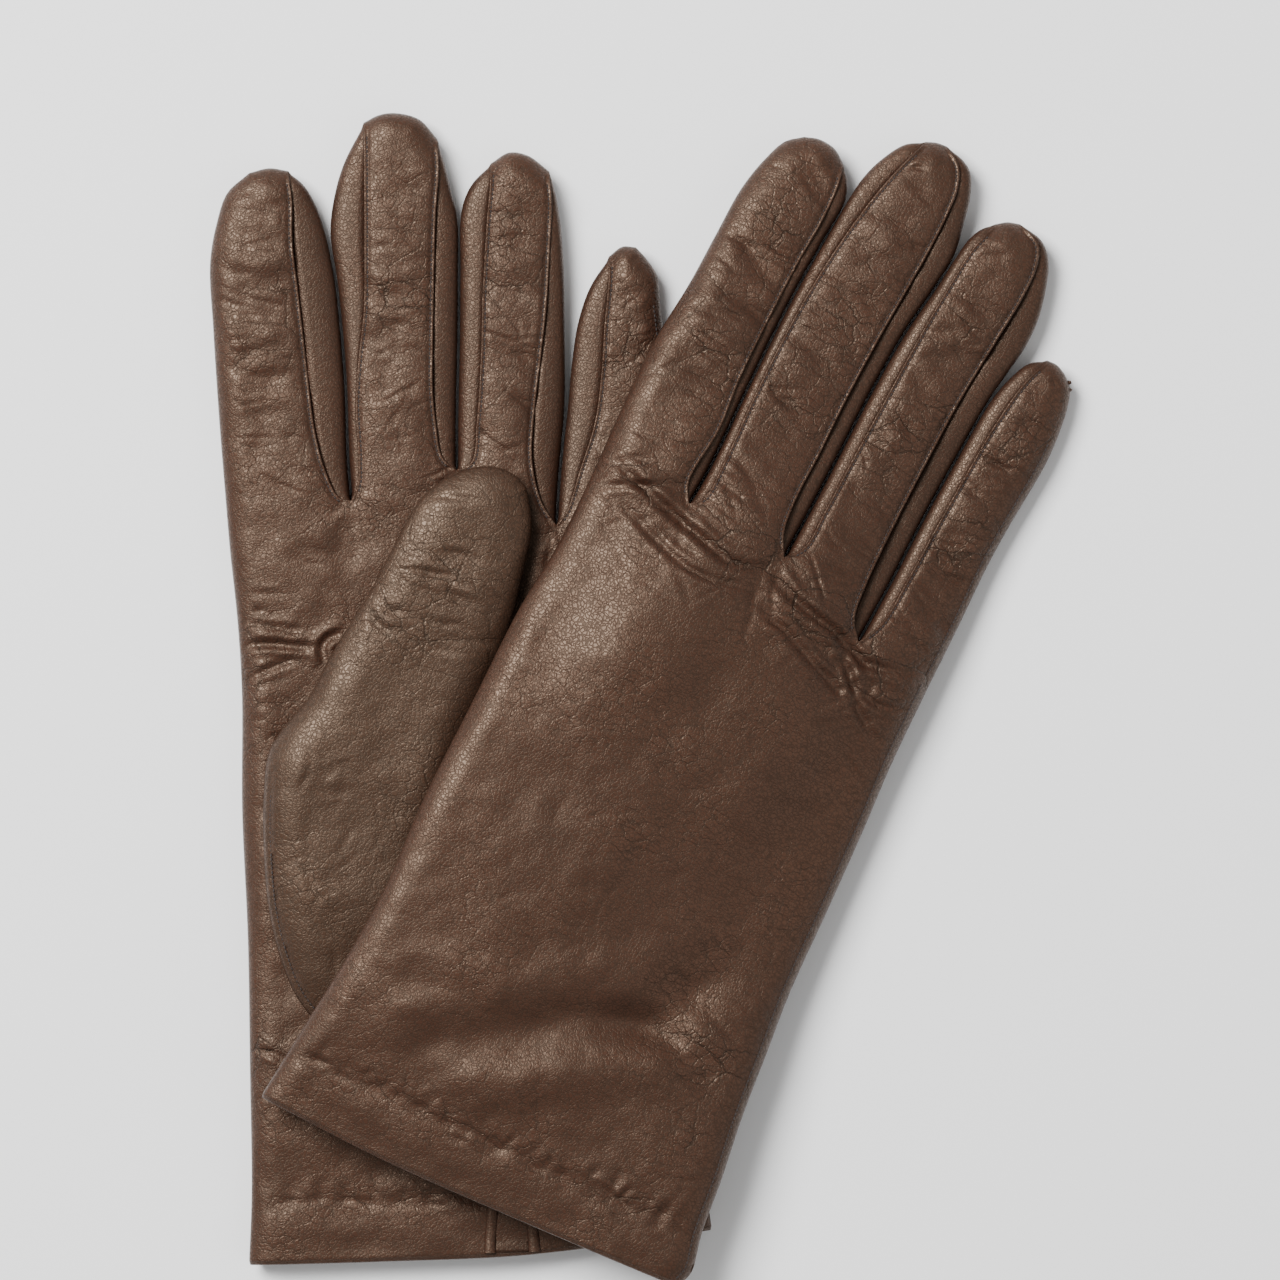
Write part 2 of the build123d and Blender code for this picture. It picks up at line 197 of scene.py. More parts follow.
THUMBS = {
    "left": {
        "left": [(-26.8, 42.9), (-33, 48.5), (-37.9, 55.2), (-41.2, 64), (-43.2, 74), (-43.9, 86), (-43.6, 98),
                 (-42.2, 107.5), (-38.5, 113), (-33.3, 118.9), (-29.2, 126.2), (-24.5, 133.7), (-19, 142),
                 (-13.5, 152), (-8.3, 160.5), (-3, 164.8)],
        "tip": [(-3, 164.8), (2.5, 166.8), (7.4, 167), (11.5, 165.4), (14.4, 162.3)],
        "right": [(-26.8, 42.9), (-17, 58), (-9, 78), (-3, 97), (3, 115), (9.5, 131), (13.4, 145),
                  (15.3, 154), (14.4, 162.3)],
        "heights": [(0.0, 9.0, 9.9), (0.12, 9.0, 12.6), (0.3, 9.2, 14.8), (0.5, 9.8, 15.9), (0.62, 11.6, 16.2),
                    (0.75, 12.9, 16.4), (0.92, 12.9, 16.1), (1.0, 12.6, 15.4)],
    },
    "right": {
        "left": [(-27.5, 62), (-35, 72), (-36.5, 84), (-32.5, 97), (-27, 108), (-18.5, 122), (-11, 130)],
        "tip": [(-11, 130), (-5.5, 131.6), (-0.6, 128)],
        "right": [(-27.5, 62), (-16, 70), (-9, 82), (-5.5, 94), (-3, 106), (0, 118), (-0.6, 128)],
        "heights": [],
    },
}

# Where the leather is worn into creases, which sets both their relief and the painted shade in them: x, y,
# width and height of each patch in mm, and how much.
CREASE_AND_SHADE_PATCHES = {
    "left": [(-38, 205, 14, 22, 0.7), (-11, 207, 14, 24, 0.7), (13, 205, 13, 22, 0.8), (35, 190, 10, 20, 0.7),
             (-38, 170, 14, 9, 0.4), (-23, 160, 9, 7, 0.6), (0, 166, 9, 7, 0.6), (20, 154, 8, 8, 0.6),
             (-44, 128, 9, 14, 0.9), (-46, 44, 8, 10, 0.8), (-15, 11, 45, 4, 0.5), (-10, 110, 40, 60, 0.15)],
    "right": [(-30, 188, 12, 16, 0.9), (-7, 190, 12, 17, 1.0), (17, 186, 12, 18, 1.0), (37, 172, 10, 16, 1.0),
              (-29, 214, 10, 9, 0.8), (-4, 218, 10, 9, 0.8), (21, 213, 10, 9, 0.8), (40, 196, 8, 8, 0.8),
              (-30, 150, 16, 9, 0.7), (-5, 146, 16, 8, 0.9), (18, 142, 14, 8, 0.9), (36, 136, 12, 10, 1.0),
              (0, 100, 45, 60, 0.22), (36, 45, 14, 26, 0.7), (0, 11, 60, 4, 0.5)],
}

# Long creases: the points of each, its width and depth, and how much its lips stand up. The left glove's
# are round the foot of its index finger and at its cuff. The right glove's are its knuckles, and then the
# soft valleys above its cuff.
CREASES = {
    "left": [
        ([(-48, 44), (-44, 43), (-39, 40.5)], 0.7, 0.5), ([(-48, 33), (-42, 34), (-36, 33)], 0.7, 0.3),
        ([(-49, 129.5), (-44, 130.6), (-38, 130), (-31, 129.4)], 0.8, 0.75, 0.7),
        ([(-49, 121.7), (-42, 125), (-36, 127)], 0.7, 0.5, 0.6),
        ([(-49, 136), (-40, 134), (-33, 133)], 0.7, 0.4),
        ([(-25.6, 132.5), (-29, 131.3), (-30.4, 129), (-29.6, 125.5)], 0.8, 0.7, 1.0),
    ],
    "right": [
        ([(-38.6, 153.5), (-26.7, 149.8), (-14.8, 146.3), (-7, 144.3), (1.7, 146.4)], 1.0, 0.95, 0.45),
        ([(1.7, 146.4), (7, 143.5), (13.4, 141.7), (20.6, 140), (28.1, 137.1), (39.1, 138.5)], 1.0, 1.0, 0.45),
        ([(-33, 146), (-22, 141.5), (-12, 139), (-2, 140.5)], 0.8, 0.55, 0.6),
        ([(2, 139), (11, 135.5), (20, 131.5), (31, 127)], 0.9, 0.6, 0.6),
        ([(20.6, 140), (27, 133), (32, 127), (39, 122)], 0.8, 0.6, 0.6),
        ([(-40, 146), (-33, 150), (-25, 153.5)], 0.7, 0.4), ([(28, 131), (35, 130), (42, 132)], 0.7, 0.5),
        ([(-25, 17), (-18, 27), (-5, 34), (6, 42), (18, 48), (24, 56), (28, 64), (33, 71)], 5.0, 1.5, 0.6),
        ([(8, 43), (17, 46), (26, 46), (37, 42)], 3.0, 1.0, 0.6),
        ([(-36, 30), (-26, 36), (-14, 38)], 3.0, 0.5, 0.5),
    ],
}
# Soft swellings, and hollows below zero: the centre, the size, the rise in mm, and the turn in radians.
MOUNDS = {
    "left": [
        ((-36, 160), (9, 14), 0.5), ((-11, 172), (7, 10), 0.4), ((10, 170), (6, 9), 0.4),
        ((-24, 152), (4, 8), -0.6), ((-1, 158), (4, 7), -0.6), ((20, 146), (4, 7), -0.6),
        ((-30, 143), (14, 7), 0.5, 0.3), ((-44, 112), (4, 18), 0.4), ((-34, 28), (16, 10), 0.4, 0.4),
        ((-20, 18), (20, 4), -0.35), ((-36, 190), (10, 5), -0.4), ((-38, 214), (9, 6), 0.3),
        ((-12, 194), (8, 4), -0.35), ((12, 192), (8, 4), -0.35), ((-12, 212), (7, 8), 0.3),
    ],
    "right": [
        ((-31, 158), (8, 8), 0.6), ((-8, 153), (8, 6), 0.8), ((14, 147), (8, 7), 0.8), ((35, 144), (7, 8), 0.7),
        ((-20, 146), (4, 7), -0.7), ((3, 143), (4, 6), -0.7), ((25, 134), (4, 7), -0.7),
        ((-25, 112), (9, 26), 0.9, -0.35), ((0, 116), (7, 22), -1.1, -0.3), ((22, 106), (8, 24), 0.8, -0.2),
        ((-6, 72), (11, 19), 1.0, -0.5), ((33, 84), (6, 14), 0.5), ((-30, 66), (8, 24), -0.5),
        ((2, 27), (16, 7), 0.6, 0.5), ((34, 30), (10, 9), 0.5), ((-29, 176), (8, 5), -0.4),
        ((-29, 190), (7, 6), 0.4), ((-7, 172), (8, 5), -0.4), ((-7, 188), (7, 7), 0.45),
        ((15, 168), (8, 5), -0.4), ((16, 184), (7, 7), 0.45), ((-28, 204), (8, 4), -0.4),
        ((-4, 206), (8, 4), -0.4), ((20, 202), (8, 4), -0.4), ((37, 162), (7, 5), -0.3),
        ((38, 174), (6, 6), 0.4), ((40, 188), (7, 4), -0.35),
    ],
}
# Patches of short creases: seed, count, centre, size, angle and its spread, usual length, greatest depth.
PATCHES = {
    "left": [(5, 12, (-42, 128), (4, 10), 0.1, 0.4, 9, 0.3), (6, 26, (-14, 146), (18, 9), 0.2, 0.9, 9, 0.22)],
    "right": [(8, 34, (-6, 143), (22, 6), -0.1, 0.5, 13, 0.26), (10, 14, (33, 131), (6, 7), 0.3, 0.7, 10, 0.32),
              (9, 16, (38, 48), (5, 22), 0.25, 0.4, 10, 0.28), (12, 40, (0, 90), (22, 30), 0.6, 1.0, 11, 0.12)],
}

# The turned-in hem, from its inner end: how deep each row lies in the cuff, mm, and how far it is drawn in.
HEM_ROWS = ((13.0, 0.97), (8.0, 0.96), (4.0, 0.93), (1.6, 0.88), (0.3, 0.82), (-0.55, 0.70), (-0.95, 0.52),
            (-0.8, 0.3), (-0.35, 0.12))
# A stitch from end to end: the place along its half length, and its width there as a share.
STITCH_PROFILE = ((-1.0, 0.25), (-0.72, 0.85), (0.0, 1.0), (0.72, 0.85), (1.0, 0.25))
STITCH_SIDES = 6

# The leather's nets of creases: pull along x, cells per mm, and the crease's width as a share of a cell.
# They are its grain cells, its web of fine creases, its folds, and the pillows between the folds.
LEATHER_NETS = ((1.0, 1.3, 0.2), (0.75, 0.42, 0.08), (0.55, 0.16, 0.04), (0.55, 0.16, 0.55))
LEATHER_DEPTHS = (0.03, 0.055, 0.075, 0.13, 0.38)      # mm: cells, pores, web, folds, pillows

FLOOR_GAP = 0.03              # mm that the leather stays above the floor
WELD_REACH = 2e-6             # m between points that become one
BEND_REACH = 7.0              # mm on each side of a finger's joint that the leather bends over
THUMB_BEND_REACH = 8.0        # the same at the left thumb's joint
THUMB_TURN = math.radians(24)  # how far the left thumb leans over its glove's palm
THUMB_DROP = 3.1              # mm that the right thumb lies below the face of its glove
THREAD_LIFT = 0.02            # mm that the stitches stand above the leather
ACROSS = np.array([1, 0])     # keeps only x, for noise that doesn't change along a glove


# ---- curves and distances ----
def spline(points, count):
    """A smooth curve through the points, sampled evenly along its length."""
    pts = np.asarray(points, float)
    if len(pts) == 2:
        return pts[0] + (pts[1] - pts[0]) * np.linspace(0, 1, count)[:, None]
    ends = np.vstack([2 * pts[0] - pts[1], pts, 2 * pts[-1] - pts[-2]])
    gaps = np.sqrt(np.linalg.norm(np.diff(ends, axis=0), axis=1))
    knots = np.concatenate([[0], np.cumsum(gaps)])
    out = []
    for i in range(1, len(ends) - 2):
        t0, t1, t2, t3 = knots[i - 1:i + 3]
        p0, p1, p2, p3 = ends[i - 1:i + 3]
        t = np.linspace(t1, t2, 16, endpoint=i == len(ends) - 3)[:, None]
        a1 = (t1 - t) / (t1 - t0) * p0 + (t - t0) / (t1 - t0) * p1
        a2 = (t2 - t) / (t2 - t1) * p1 + (t - t1) / (t2 - t1) * p2
        a3 = (t3 - t) / (t3 - t2) * p2 + (t - t2) / (t3 - t2) * p3
        b1 = (t2 - t) / (t2 - t0) * a1 + (t - t0) / (t2 - t0) * a2
        b2 = (t3 - t) / (t3 - t1) * a2 + (t - t1) / (t3 - t1) * a3
        out.append((t2 - t) / (t2 - t1) * b1 + (t - t1) / (t2 - t1) * b2)
    return resample(np.vstack(out), np.linspace(0, 1, count))


def resample(line, shares):
    """Points of a polyline at these shares of its length."""
    run = np.concatenate([[0], np.cumsum(np.linalg.norm(np.diff(line, axis=0), axis=1))])
    at = np.asarray(shares) * run[-1]
    return np.stack([np.interp(at, run, line[:, k]) for k in range(line.shape[1])], axis=-1)


def along(points, line, reach=1000.0):
    """Distance of each point from a polyline, up to a reach, and how far along it the nearest place is."""
    flat = points.reshape(-1, 2)
    best, place = np.full(len(flat), reach), np.zeros(len(flat))
    close = np.flatnonzero(((flat > line.min(0) - reach) & (flat < line.max(0) + reach)).all(1))
    flat, away, where = flat[close], best[close], place[close]
    start, step = line[:-1], np.diff(line, axis=0)
    size = np.maximum((step ** 2).sum(1), 1e-12)
    run = np.concatenate([[0], np.cumsum(np.sqrt(size))])
    for k in range(len(start)):
        off = flat - start[k]
        share = np.clip((off @ step[k]) / size[k], 0, 1)
        off -= share[:, None] * step[k]
        gap = np.sqrt((off ** 2).sum(1))
        near = gap < away
        away[near] = gap[near]
        where[near] = run[k] + share[near] * (run[k + 1] - run[k])
    best[close], place[close] = away, where
    return best.reshape(points.shape[:-1]), place.reshape(points.shape[:-1])


def coons(bottom, top, left, right):
    """A grid that fills four curves: rows run from bottom to top, columns from left to right."""
    u = share_of(top)
    v = share_of(left)
    u, v = u[None, :, None], v[:, None, None]
    ruled = (1 - v) * bottom[None] + v * top[None] + (1 - u) * left[:, None] + u * right[:, None]
    corners = (1 - u) * (1 - v) * bottom[0] + u * (1 - v) * bottom[-1] + (1 - u) * v * top[0] + u * v * top[-1]
    return ruled - corners


def share_of(line):
    """Each point's share of a polyline's length."""
    run = np.concatenate([[0], np.cumsum(np.linalg.norm(np.diff(line, axis=0), axis=1))])
    return run / run[-1]


def crowded(count, ends=0.6):
    """Shares from 0 to 1 that are closer together at both ends."""
    even = np.linspace(0, 1, count)
    return (1 - ends) * even + ends * (0.5 - 0.5 * np.cos(math.pi * even))


def with_height(plan, height):
    """Plan places with a height as their third number."""
    return np.concatenate([plan, np.asarray(height)[..., None]], axis=-1)


def roll(t):
    """A quarter round: 0 at an edge, 1 from t = 1 on."""
    t = np.clip(t, 0, 1)
    return np.sqrt(1 - (1 - t) ** 2)


def ease(t):
    """A smooth step from 0 to 1."""
    t = np.clip(t, 0, 1)
    return t * t * (3 - 2 * t)


def wander(points, scale, seed, octaves=3):
    """Smooth noise over the plane, about -1 to 1, from seeded waves."""
    rng = np.random.default_rng(seed)
    total = np.zeros(points.shape[:-1])
    weight = 0.0
    for octave in range(octaves):
        for _ in range(7):
            angle, phase = rng.uniform(0, 2 * math.pi, 2)
            wave = 2 * math.pi / (scale * rng.uniform(0.7, 1.4) / 2 ** octave)
            bend = rng.uniform(0, 2 * math.pi)
            run = points[..., 0] * math.cos(angle) + points[..., 1] * math.sin(angle)
            cross = points[..., 1] * math.cos(angle) - points[..., 0] * math.sin(angle)
            total += np.sin(run * wave + phase + 1.3 * np.sin(cross * wave * 0.6 + bend)) / 1.8 ** octave
        weight += 7 / 1.8 ** octave
    return total / weight * 2.2


def whole_outline(outline):
    """An outline with the ends of every finger's edges and seams added."""
    stops = [outline["index_edge"][-1], *outline["crotches"], outline["little_edge"][-1]]
    whole = dict(outline)
    for finger, crotches in zip(FINGERS, zip(stops[:-1], stops[1:])):
        lines, tip = outline[finger], outline[finger]["tip"]
        whole[finger] = {"tip": tip}
        for name in [name for name in lines if name != "tip"]:
            end = 0 if name.startswith("left") else 1
            whole[finger][name] = [crotches[end], *lines[name], tip[-end]]
    return whole


# ---- one glove's shape ----
class Glove:
    """Where one glove lies, and how high its leather stands at any place in its plan."""

    def __init__(self, side):
        self.side = side
        self.outline = whole_outline(OUTLINES[side])
        mouth = next(m for m in frame["record"]["mounts"] if m["name"] == f"{side}_cuff_mouth")
        self.origin = np.array(mouth["pos_m"][:2]) / MM
        forward = -np.array(mouth["axis"][:2])
        self.forward = forward / np.linalg.norm(forward)
        self.across = np.array([self.forward[1], -self.forward[0]])
        self.folds = self.fold_lines()
        self.seams = self.seam_lines()
        self.middle = self.read_drape()
        self.wrinkles = {"up": [], "down": []}
        self.last = (None, None, None)

    def to_row(self, xy, z):
        """Glove plan and height, in mm, to the frame's metres."""
        return with_height(self.origin + xy[..., :1] * self.across + xy[..., 1:] * self.forward, z) * MM

    def curve(self, finger, name, count):
        """One line of a finger's outline."""
        return spline(self.outline[finger][name], count)

    def fold_lines(self):
        """The lines where the leather turns over at the glove's silhouette."""
        lines = [spline(self.outline["index_edge"], 50), self.curve("index", "left", 50),
                 self.curve("little", "right", 50), spline(self.outline["little_edge"], 50)]
        return lines + [self.curve(finger, "tip", 16) for finger in FINGERS]

    def seam_lines(self):
        """The seams between the leaves and the fourchettes."""
        return [self.curve(finger, name, 60) for finger in FINGERS for name in ("left_seam", "right_seam")
                if name in self.outline[finger]]

    def near(self, xy):
        """Distances from the nearest fold and the nearest finger seam."""
        if self.last[0] is not xy:
            fold = np.min([along(xy, line, 45.0)[0] for line in self.folds], axis=0)
            seam = np.min([along(xy, line, 12.0)[0] for line in self.seams], axis=0)
            self.last = (xy, fold, seam)
        return self.last[1:]

    def read_drape(self):
        """The height of the glove's mid-surface, as a smooth surface through the middle of the CAD glove."""
        found = []
        trank = self.cad_tree("trank")
        left, right = np.array(self.outline["index_edge"]), np.array(self.outline["little_edge"])
        for y in np.linspace(5, 132, 9):
            x0, x1 = np.interp(y, left[:, 1], left[:, 0]), np.interp(y, right[:, 1], right[:, 0])
            for share in np.linspace(0.12, 0.88, 6):
                found.append(self.cad_middle(trank, x0 + share * (x1 - x0), y))
        for finger in FINGERS:
            tree = self.cad_tree(f"{finger}_stall")
            sides = self.curve(finger, "left", 9), self.curve(finger, "right", 9)
            for k in (3, 5, 7):
                x, y = (sides[0][k] + sides[1][k]) / 2
                found.append(self.cad_middle(tree, x, y))
        found = np.array([f for f in found if f is not None])
        return SmoothSurface(found[:, :2], found[:, 2])

    def cad_tree(self, node):
        """A CAD node's faces, to be met by a ray."""
        mesh = frame["nodes"][f"{self.side}_{node}"].data
        return BVHTree.FromPolygons([v.co for v in mesh.vertices], [p.vertices for p in mesh.polygons])

    def cad_middle(self, tree, x, y):
        """The middle of the CAD glove's thickness at a place in its plan, or None beside it.

        The glove is met on the back of the hand, which has no vent and no thumb hole.
        """
        up = 1 if self.side == "left" else -1
        start = self.to_row(np.array([x, y]), -1000.0 * up)
        hit = tree.ray_cast(Vector(start), Vector((0, 0, up)))[0]
        return None if hit is None else (x, y, hit.z / MM + up * HALF)

    def half(self, xy, face, leaf=True):
        """How far the leather stands from the mid-surface."""
        shape = bpy.context.scene.glove_shape
        fold, seam = self.near(xy)
        mouth = ease((xy[..., 1] + 4) / 42)
        if face == "up":
            inward = 1 - np.exp(-fold / 14)
            most = SKIN_HALF * (0.72 + 0.28 * mouth) * (0.86 + 0.14 * inward)
        else:
            most = np.full(fold.shape, SKIN_HALF + 0.1)
        dome = shape.seam_height + (1 - shape.seam_height) * roll(seam / shape.seam_reach)
        height = most * roll(fold / shape.fold_round) * dome
        if leaf:
            lip = 0.20 * np.exp(-(seam / 0.7) ** 2) - shape.stitch_groove * np.exp(-((seam - 0.8) / 0.5) ** 2)
            height = height + lip * ease(fold / 3)
        return height

    def lift(self, xy, face, leaf=True):
        """Height in the frame of the leather's outer face."""
        relief = self.relief(xy, face)
        return np.maximum(self.middle(xy) + FACES[face] * (self.half(xy, face, leaf) + relief), FLOOR_GAP)

    def outer(self, xy, face, proud=0.0):
        """The leather's outer face in the frame, or a line that stands this proud of it."""
        return self.to_row(xy, self.lift(xy, face) + FACES[face] * proud)

    def relief(self, xy, face):
        """Creases, puckers and slack in the leather."""
        shape = bpy.context.scene.glove_shape
        fold = self.near(xy)[0]
        total = np.zeros(xy.shape[:-1])
        for wrinkle in self.wrinkles[face]:
            total += wrinkle(xy)
        seed = len(self.side)
        slack = 0.42 * wander(xy, 36, 11 + seed) + 0.10 * wander(xy, 12, 23 + seed)
        return shape.crease_depth * (total + slack) * ease(fold / 4)

    def worn(self, xy, face):
        """How much the leather is creased at a place, 0 to 1, for its relief and the painted shade in its
        creases.
        """
        total = np.zeros(xy.shape[:-1])
        for x, y, wide, tall, amount in CREASE_AND_SHADE_PATCHES[self.side]:
            total += amount * np.exp(-((xy[..., 0] - x) / wide) ** 2 - ((xy[..., 1] - y) / tall) ** 2)
        return np.clip(total * (0.75 + 0.5 * wander(xy, 22, 77, 2)), 0, 1)

    def border(self, xy, face):
        """The leather's own normals, for places where two pieces meet in one surface."""
        sides = []
        for step in ((0.35, 0.0), (0.0, 0.35)):
            ahead, behind = xy + np.array(step), xy - np.array(step)
            sides.append(self.outer(ahead, face) - self.outer(behind, face))
        normal = np.cross(sides[0], sides[1]) * FACES[face]
        return normal / np.linalg.norm(normal, axis=-1, keepdims=True)

    def leaf(self, plan, face, edge, proud=0.0):
        """A leaf's points, rest places, creasing for relief and painted shade, and normals on the row meeting
        another piece.
        """
        points = self.outer(plan, face, proud)
        rest = with_height(plan, FACES[face] * self.half(plan, face))
        border = np.zeros(points.shape)
        border[edge] = self.border(plan[edge], face)
        return points, rest, self.worn(plan, face), border


class SmoothSurface:
    """A thin-plate surface through scattered heights."""

    def __init__(self, places, heights, stiffness=40.0):
        self.places = places
        count = len(places)
        kernel = self.kernel(places, places) + stiffness * np.eye(count)
        plane = np.column_stack([np.ones(count), places])
        matrix = np.block([[kernel, plane], [plane.T, np.zeros((3, 3))]])
        solved = np.linalg.solve(matrix, np.concatenate([heights, np.zeros(3)]))
        self.weights, self.plane = solved[:count], solved[count:]

    @staticmethod
    def kernel(a, b):
        square = ((a[:, None, :] - b[None, :, :]) ** 2).sum(-1)
        return 0.5 * square * np.log(square + 1e-9)

    def __call__(self, xy):
        flat = xy.reshape(-1, 2)
        out = self.plane[0] + flat @ self.plane[1:]
        for start in range(0, len(flat), 20000):
            part = slice(start, start + 20000)
            out[part] += self.kernel(flat[part], self.places) @ self.weights
        return out.reshape(xy.shape[:-1])


class Wrinkle:
    """A short soft crease with a raised lip on both sides, in a glove's plan."""

    def __init__(self, centre, angle, length, width, depth, bend=0.0):
        self.centre = np.array(centre)
        self.run = np.array([math.cos(angle), math.sin(angle)])
        self.length, self.width, self.depth, self.bend = length, width, depth, bend

    def __call__(self, xy):
        away = xy - self.centre
        u = away @ self.run
        v = away[..., 1] * self.run[0] - away[..., 0] * self.run[1]
        reach = self.length / 2
        v = v - self.bend * (1 - (u / reach) ** 2)
        near = (np.abs(u) < reach) & (np.abs(v) < 5 * self.width)
        out = np.zeros(xy.shape[:-1])
        t = v[near] / self.width
        taper = np.cos(u[near] / reach * math.pi / 2) ** 1.3
        out[near] = self.depth * taper * (0.25 * np.exp(-((np.abs(t) - 2.1) / 1.0) ** 2) - np.exp(-t ** 2))
        return out


class Mound:
    """A soft swelling or hollow."""

    def __init__(self, centre, size, height, angle=0.0):
        self.centre, self.size, self.height = np.array(centre), np.array(size), height
        self.turn = np.array([[math.cos(angle), -math.sin(angle)], [math.sin(angle), math.cos(angle)]])

    def __call__(self, xy):
        away = ((xy - self.centre) @ self.turn) / self.size
        return self.height * np.exp(-(away ** 2).sum(-1))


class Crease:
    """A long crease along a curve, fading at both ends."""

    def __init__(self, points, width, depth, ridge=0.45):
        self.line = spline(points, 40)
        self.size = np.linalg.norm(np.diff(self.line, axis=0), axis=1).sum()
        self.width, self.depth, self.ridge = width, depth, ridge

    def __call__(self, xy):
        away, place = along(xy, self.line, 4.5 * self.width)
        taper = np.sin(np.clip(place / self.size, 0, 1) * math.pi) ** 0.6
        t = away / self.width
        return self.depth * taper * (self.ridge * np.exp(-((t - 2.1) / 1.0) ** 2) - np.exp(-t ** 2))


# ---- meshes ----
def sheet_faces(rows, columns, start=0, flip=False, closed=False):
    """Quads of a grid of vertices, row by row."""
    wrap = columns if closed else columns - 1
    i, j = np.meshgrid(np.arange(rows - 1), np.arange(wrap), indexing="ij")
    k = (j + 1) % columns
    a, b, c, d = i * columns + j, i * columns + k, (i + 1) * columns + k, (i + 1) * columns + j
    quads = np.stack([a, b, c, d], axis=-1).reshape(-1, 4) + start
    return quads[:, ::-1] if flip else quads


def new_mesh(name, points, faces, **values):
    """A mesh with values on its vertices: vectors where a value has rows, and numbers otherwise."""
    mesh = bpy.data.meshes.new(name)
    mesh.from_pydata(points.tolist(), [], faces)
    for key, value in values.items():
        kind, field = ("FLOAT_VECTOR", "vector") if value.ndim == 2 else ("FLOAT", "value")
        mesh.attributes.new(key, kind, "POINT").data.foreach_set(field, value.astype(np.float32).ravel())
    return mesh


def link_piece(mesh):
    """A smooth-shaded object for a mesh."""
    mesh.polygons.foreach_set("use_smooth", np.ones(len(mesh.polygons), bool))
    piece = bpy.data.objects.new(mesh.name, mesh)
    bpy.context.scene.collection.objects.link(piece)
    return piece


def settle(piece, slot, body, nodes):
    """Gives a piece its finish and attaches it to its body, or for a bend zone bakes its place into its points;
    hides its CAD nodes.
    """
    piece.data.materials.clear()
    piece.data.materials.append(finish(slot))
    if isinstance(body, str):
        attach(piece, body)
    else:
        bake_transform(piece)
    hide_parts(*nodes)
    return piece


def weld(mesh):
    """Joins the grids of a mesh where they meet, and removes faces that have closed up."""
    bm = bmesh.new()
    bm.from_mesh(mesh)
    bmesh.ops.remove_doubles(bm, verts=bm.verts, dist=WELD_REACH)
    bmesh.ops.dissolve_degenerate(bm, edges=bm.edges, dist=WELD_REACH / 2)
    bm.to_mesh(mesh)
    bm.free()


def thicken(piece, thick):
    """Gives a sheet its thickness, inwards from its outer face."""
    solid = piece.modifiers.new("thickness", "SOLIDIFY")
    solid.thickness, solid.offset, solid.use_rim = thick * MM, -1.0, True
    bpy.context.view_layer.update()
    mesh = bpy.data.meshes.new_from_object(piece.evaluated_get(bpy.context.evaluated_depsgraph_get()))
    piece.modifiers.clear()
    piece.data = mesh


def set_border(mesh):
    """Gives the marked vertices the normals of the surface that they share with another piece."""
    count = len(mesh.vertices)
    hint, own = np.zeros(count * 3, np.float32), np.zeros(count * 3, np.float32)
    mesh.attributes["border"].data.foreach_get("vector", hint)
    mesh.vertex_normals.foreach_get("vector", own)
    hint, own = hint.reshape(-1, 3), own.reshape(-1, 3)
    hint[(hint * own).sum(1) < 0.2] = 0
    if hint.any():
        mesh.normals_split_custom_set_from_vertices(hint.tolist())
    mesh.attributes.remove(mesh.attributes["border"])


def make_piece(name, nodes, parts, slot, body, thick=0.0, rest_lift=0.0):
    """A piece from grids of row-frame points, which stands for these CAD nodes.

    parts: (points in metres, rest places in mm, flip, closed, creasing for relief and painted shade, border
    normals) for each grid, where the last two may be left out.
    """
    points, rests, faces, worn, border, start = [], [], [], [], [], 0
    for place, rest, flip, closed, *more in parts:
        rows, columns = place.shape[:2]
        faces.append(sheet_faces(rows, columns, start, flip, closed))
        points.append(place.reshape(-1, 3))
        rests.append(rest.reshape(-1, 3) + np.array([0, 0, rest_lift]))
        worn.append((more[0] if more else np.zeros((rows, columns))).reshape(-1))
        border.append((more[1] if len(more) > 1 else np.zeros((rows, columns, 3))).reshape(-1, 3))
        start += rows * columns
    mesh = new_mesh(name, np.vstack(points), np.vstack(faces).tolist(), rest=np.vstack(rests),
                    worn=np.concatenate(worn), border=np.vstack(border))
    weld(mesh)
    piece = link_piece(mesh)
    if thick:
        thicken(piece, thick)
    set_border(piece.data)
    return settle(piece, slot, body, nodes)


def bend_zone(glove, joint, forward, reach):
    """The two bodies of a joint and where the leather starts and ends its bend."""
    found = next(j for j in frame["joints"] if j["name"] == joint)
    at = np.array(found["pos_m"])
    run = forward[0] * glove.across + forward[1] * glove.forward
    step = np.append(run / np.linalg.norm(run), 0) * reach * MM
    return found["parent"], found["child"], tuple(at - step), tuple(at + step)


# ---- materials ----
def node_tree(name):
    """A new material with its tree and its one shader."""
    material = bpy.data.materials.new(name)
    material.use_nodes = True
    tree = material.node_tree
    tree.nodes.clear()
    out = tree.nodes.new("ShaderNodeOutputMaterial")
    shader = tree.nodes.new("ShaderNodeBsdfPrincipled")
    tree.links.new(shader.outputs["BSDF"], out.inputs["Surface"])
    return material, tree, shader


def add(tree, kind, inputs=(), **settings):
    """A node with its settings, and inputs given as values or links."""
    node = tree.nodes.new(kind)
    for key, value in settings.items():
        setattr(node, key, value)
    for key, value in dict(inputs).items():
        if isinstance(value, bpy.types.NodeSocket):
            tree.links.new(value, node.inputs[key])
        else:
            node.inputs[key].default_value = value
    return node


def sums(tree, operation, *parts):
    """One kind of sum done on sockets and numbers, from left to right."""
    total = parts[0]
    for part in parts[1:]:
        total = add(tree, "ShaderNodeMath", {0: total, 1: part}, operation=operation).outputs[0]
    return total


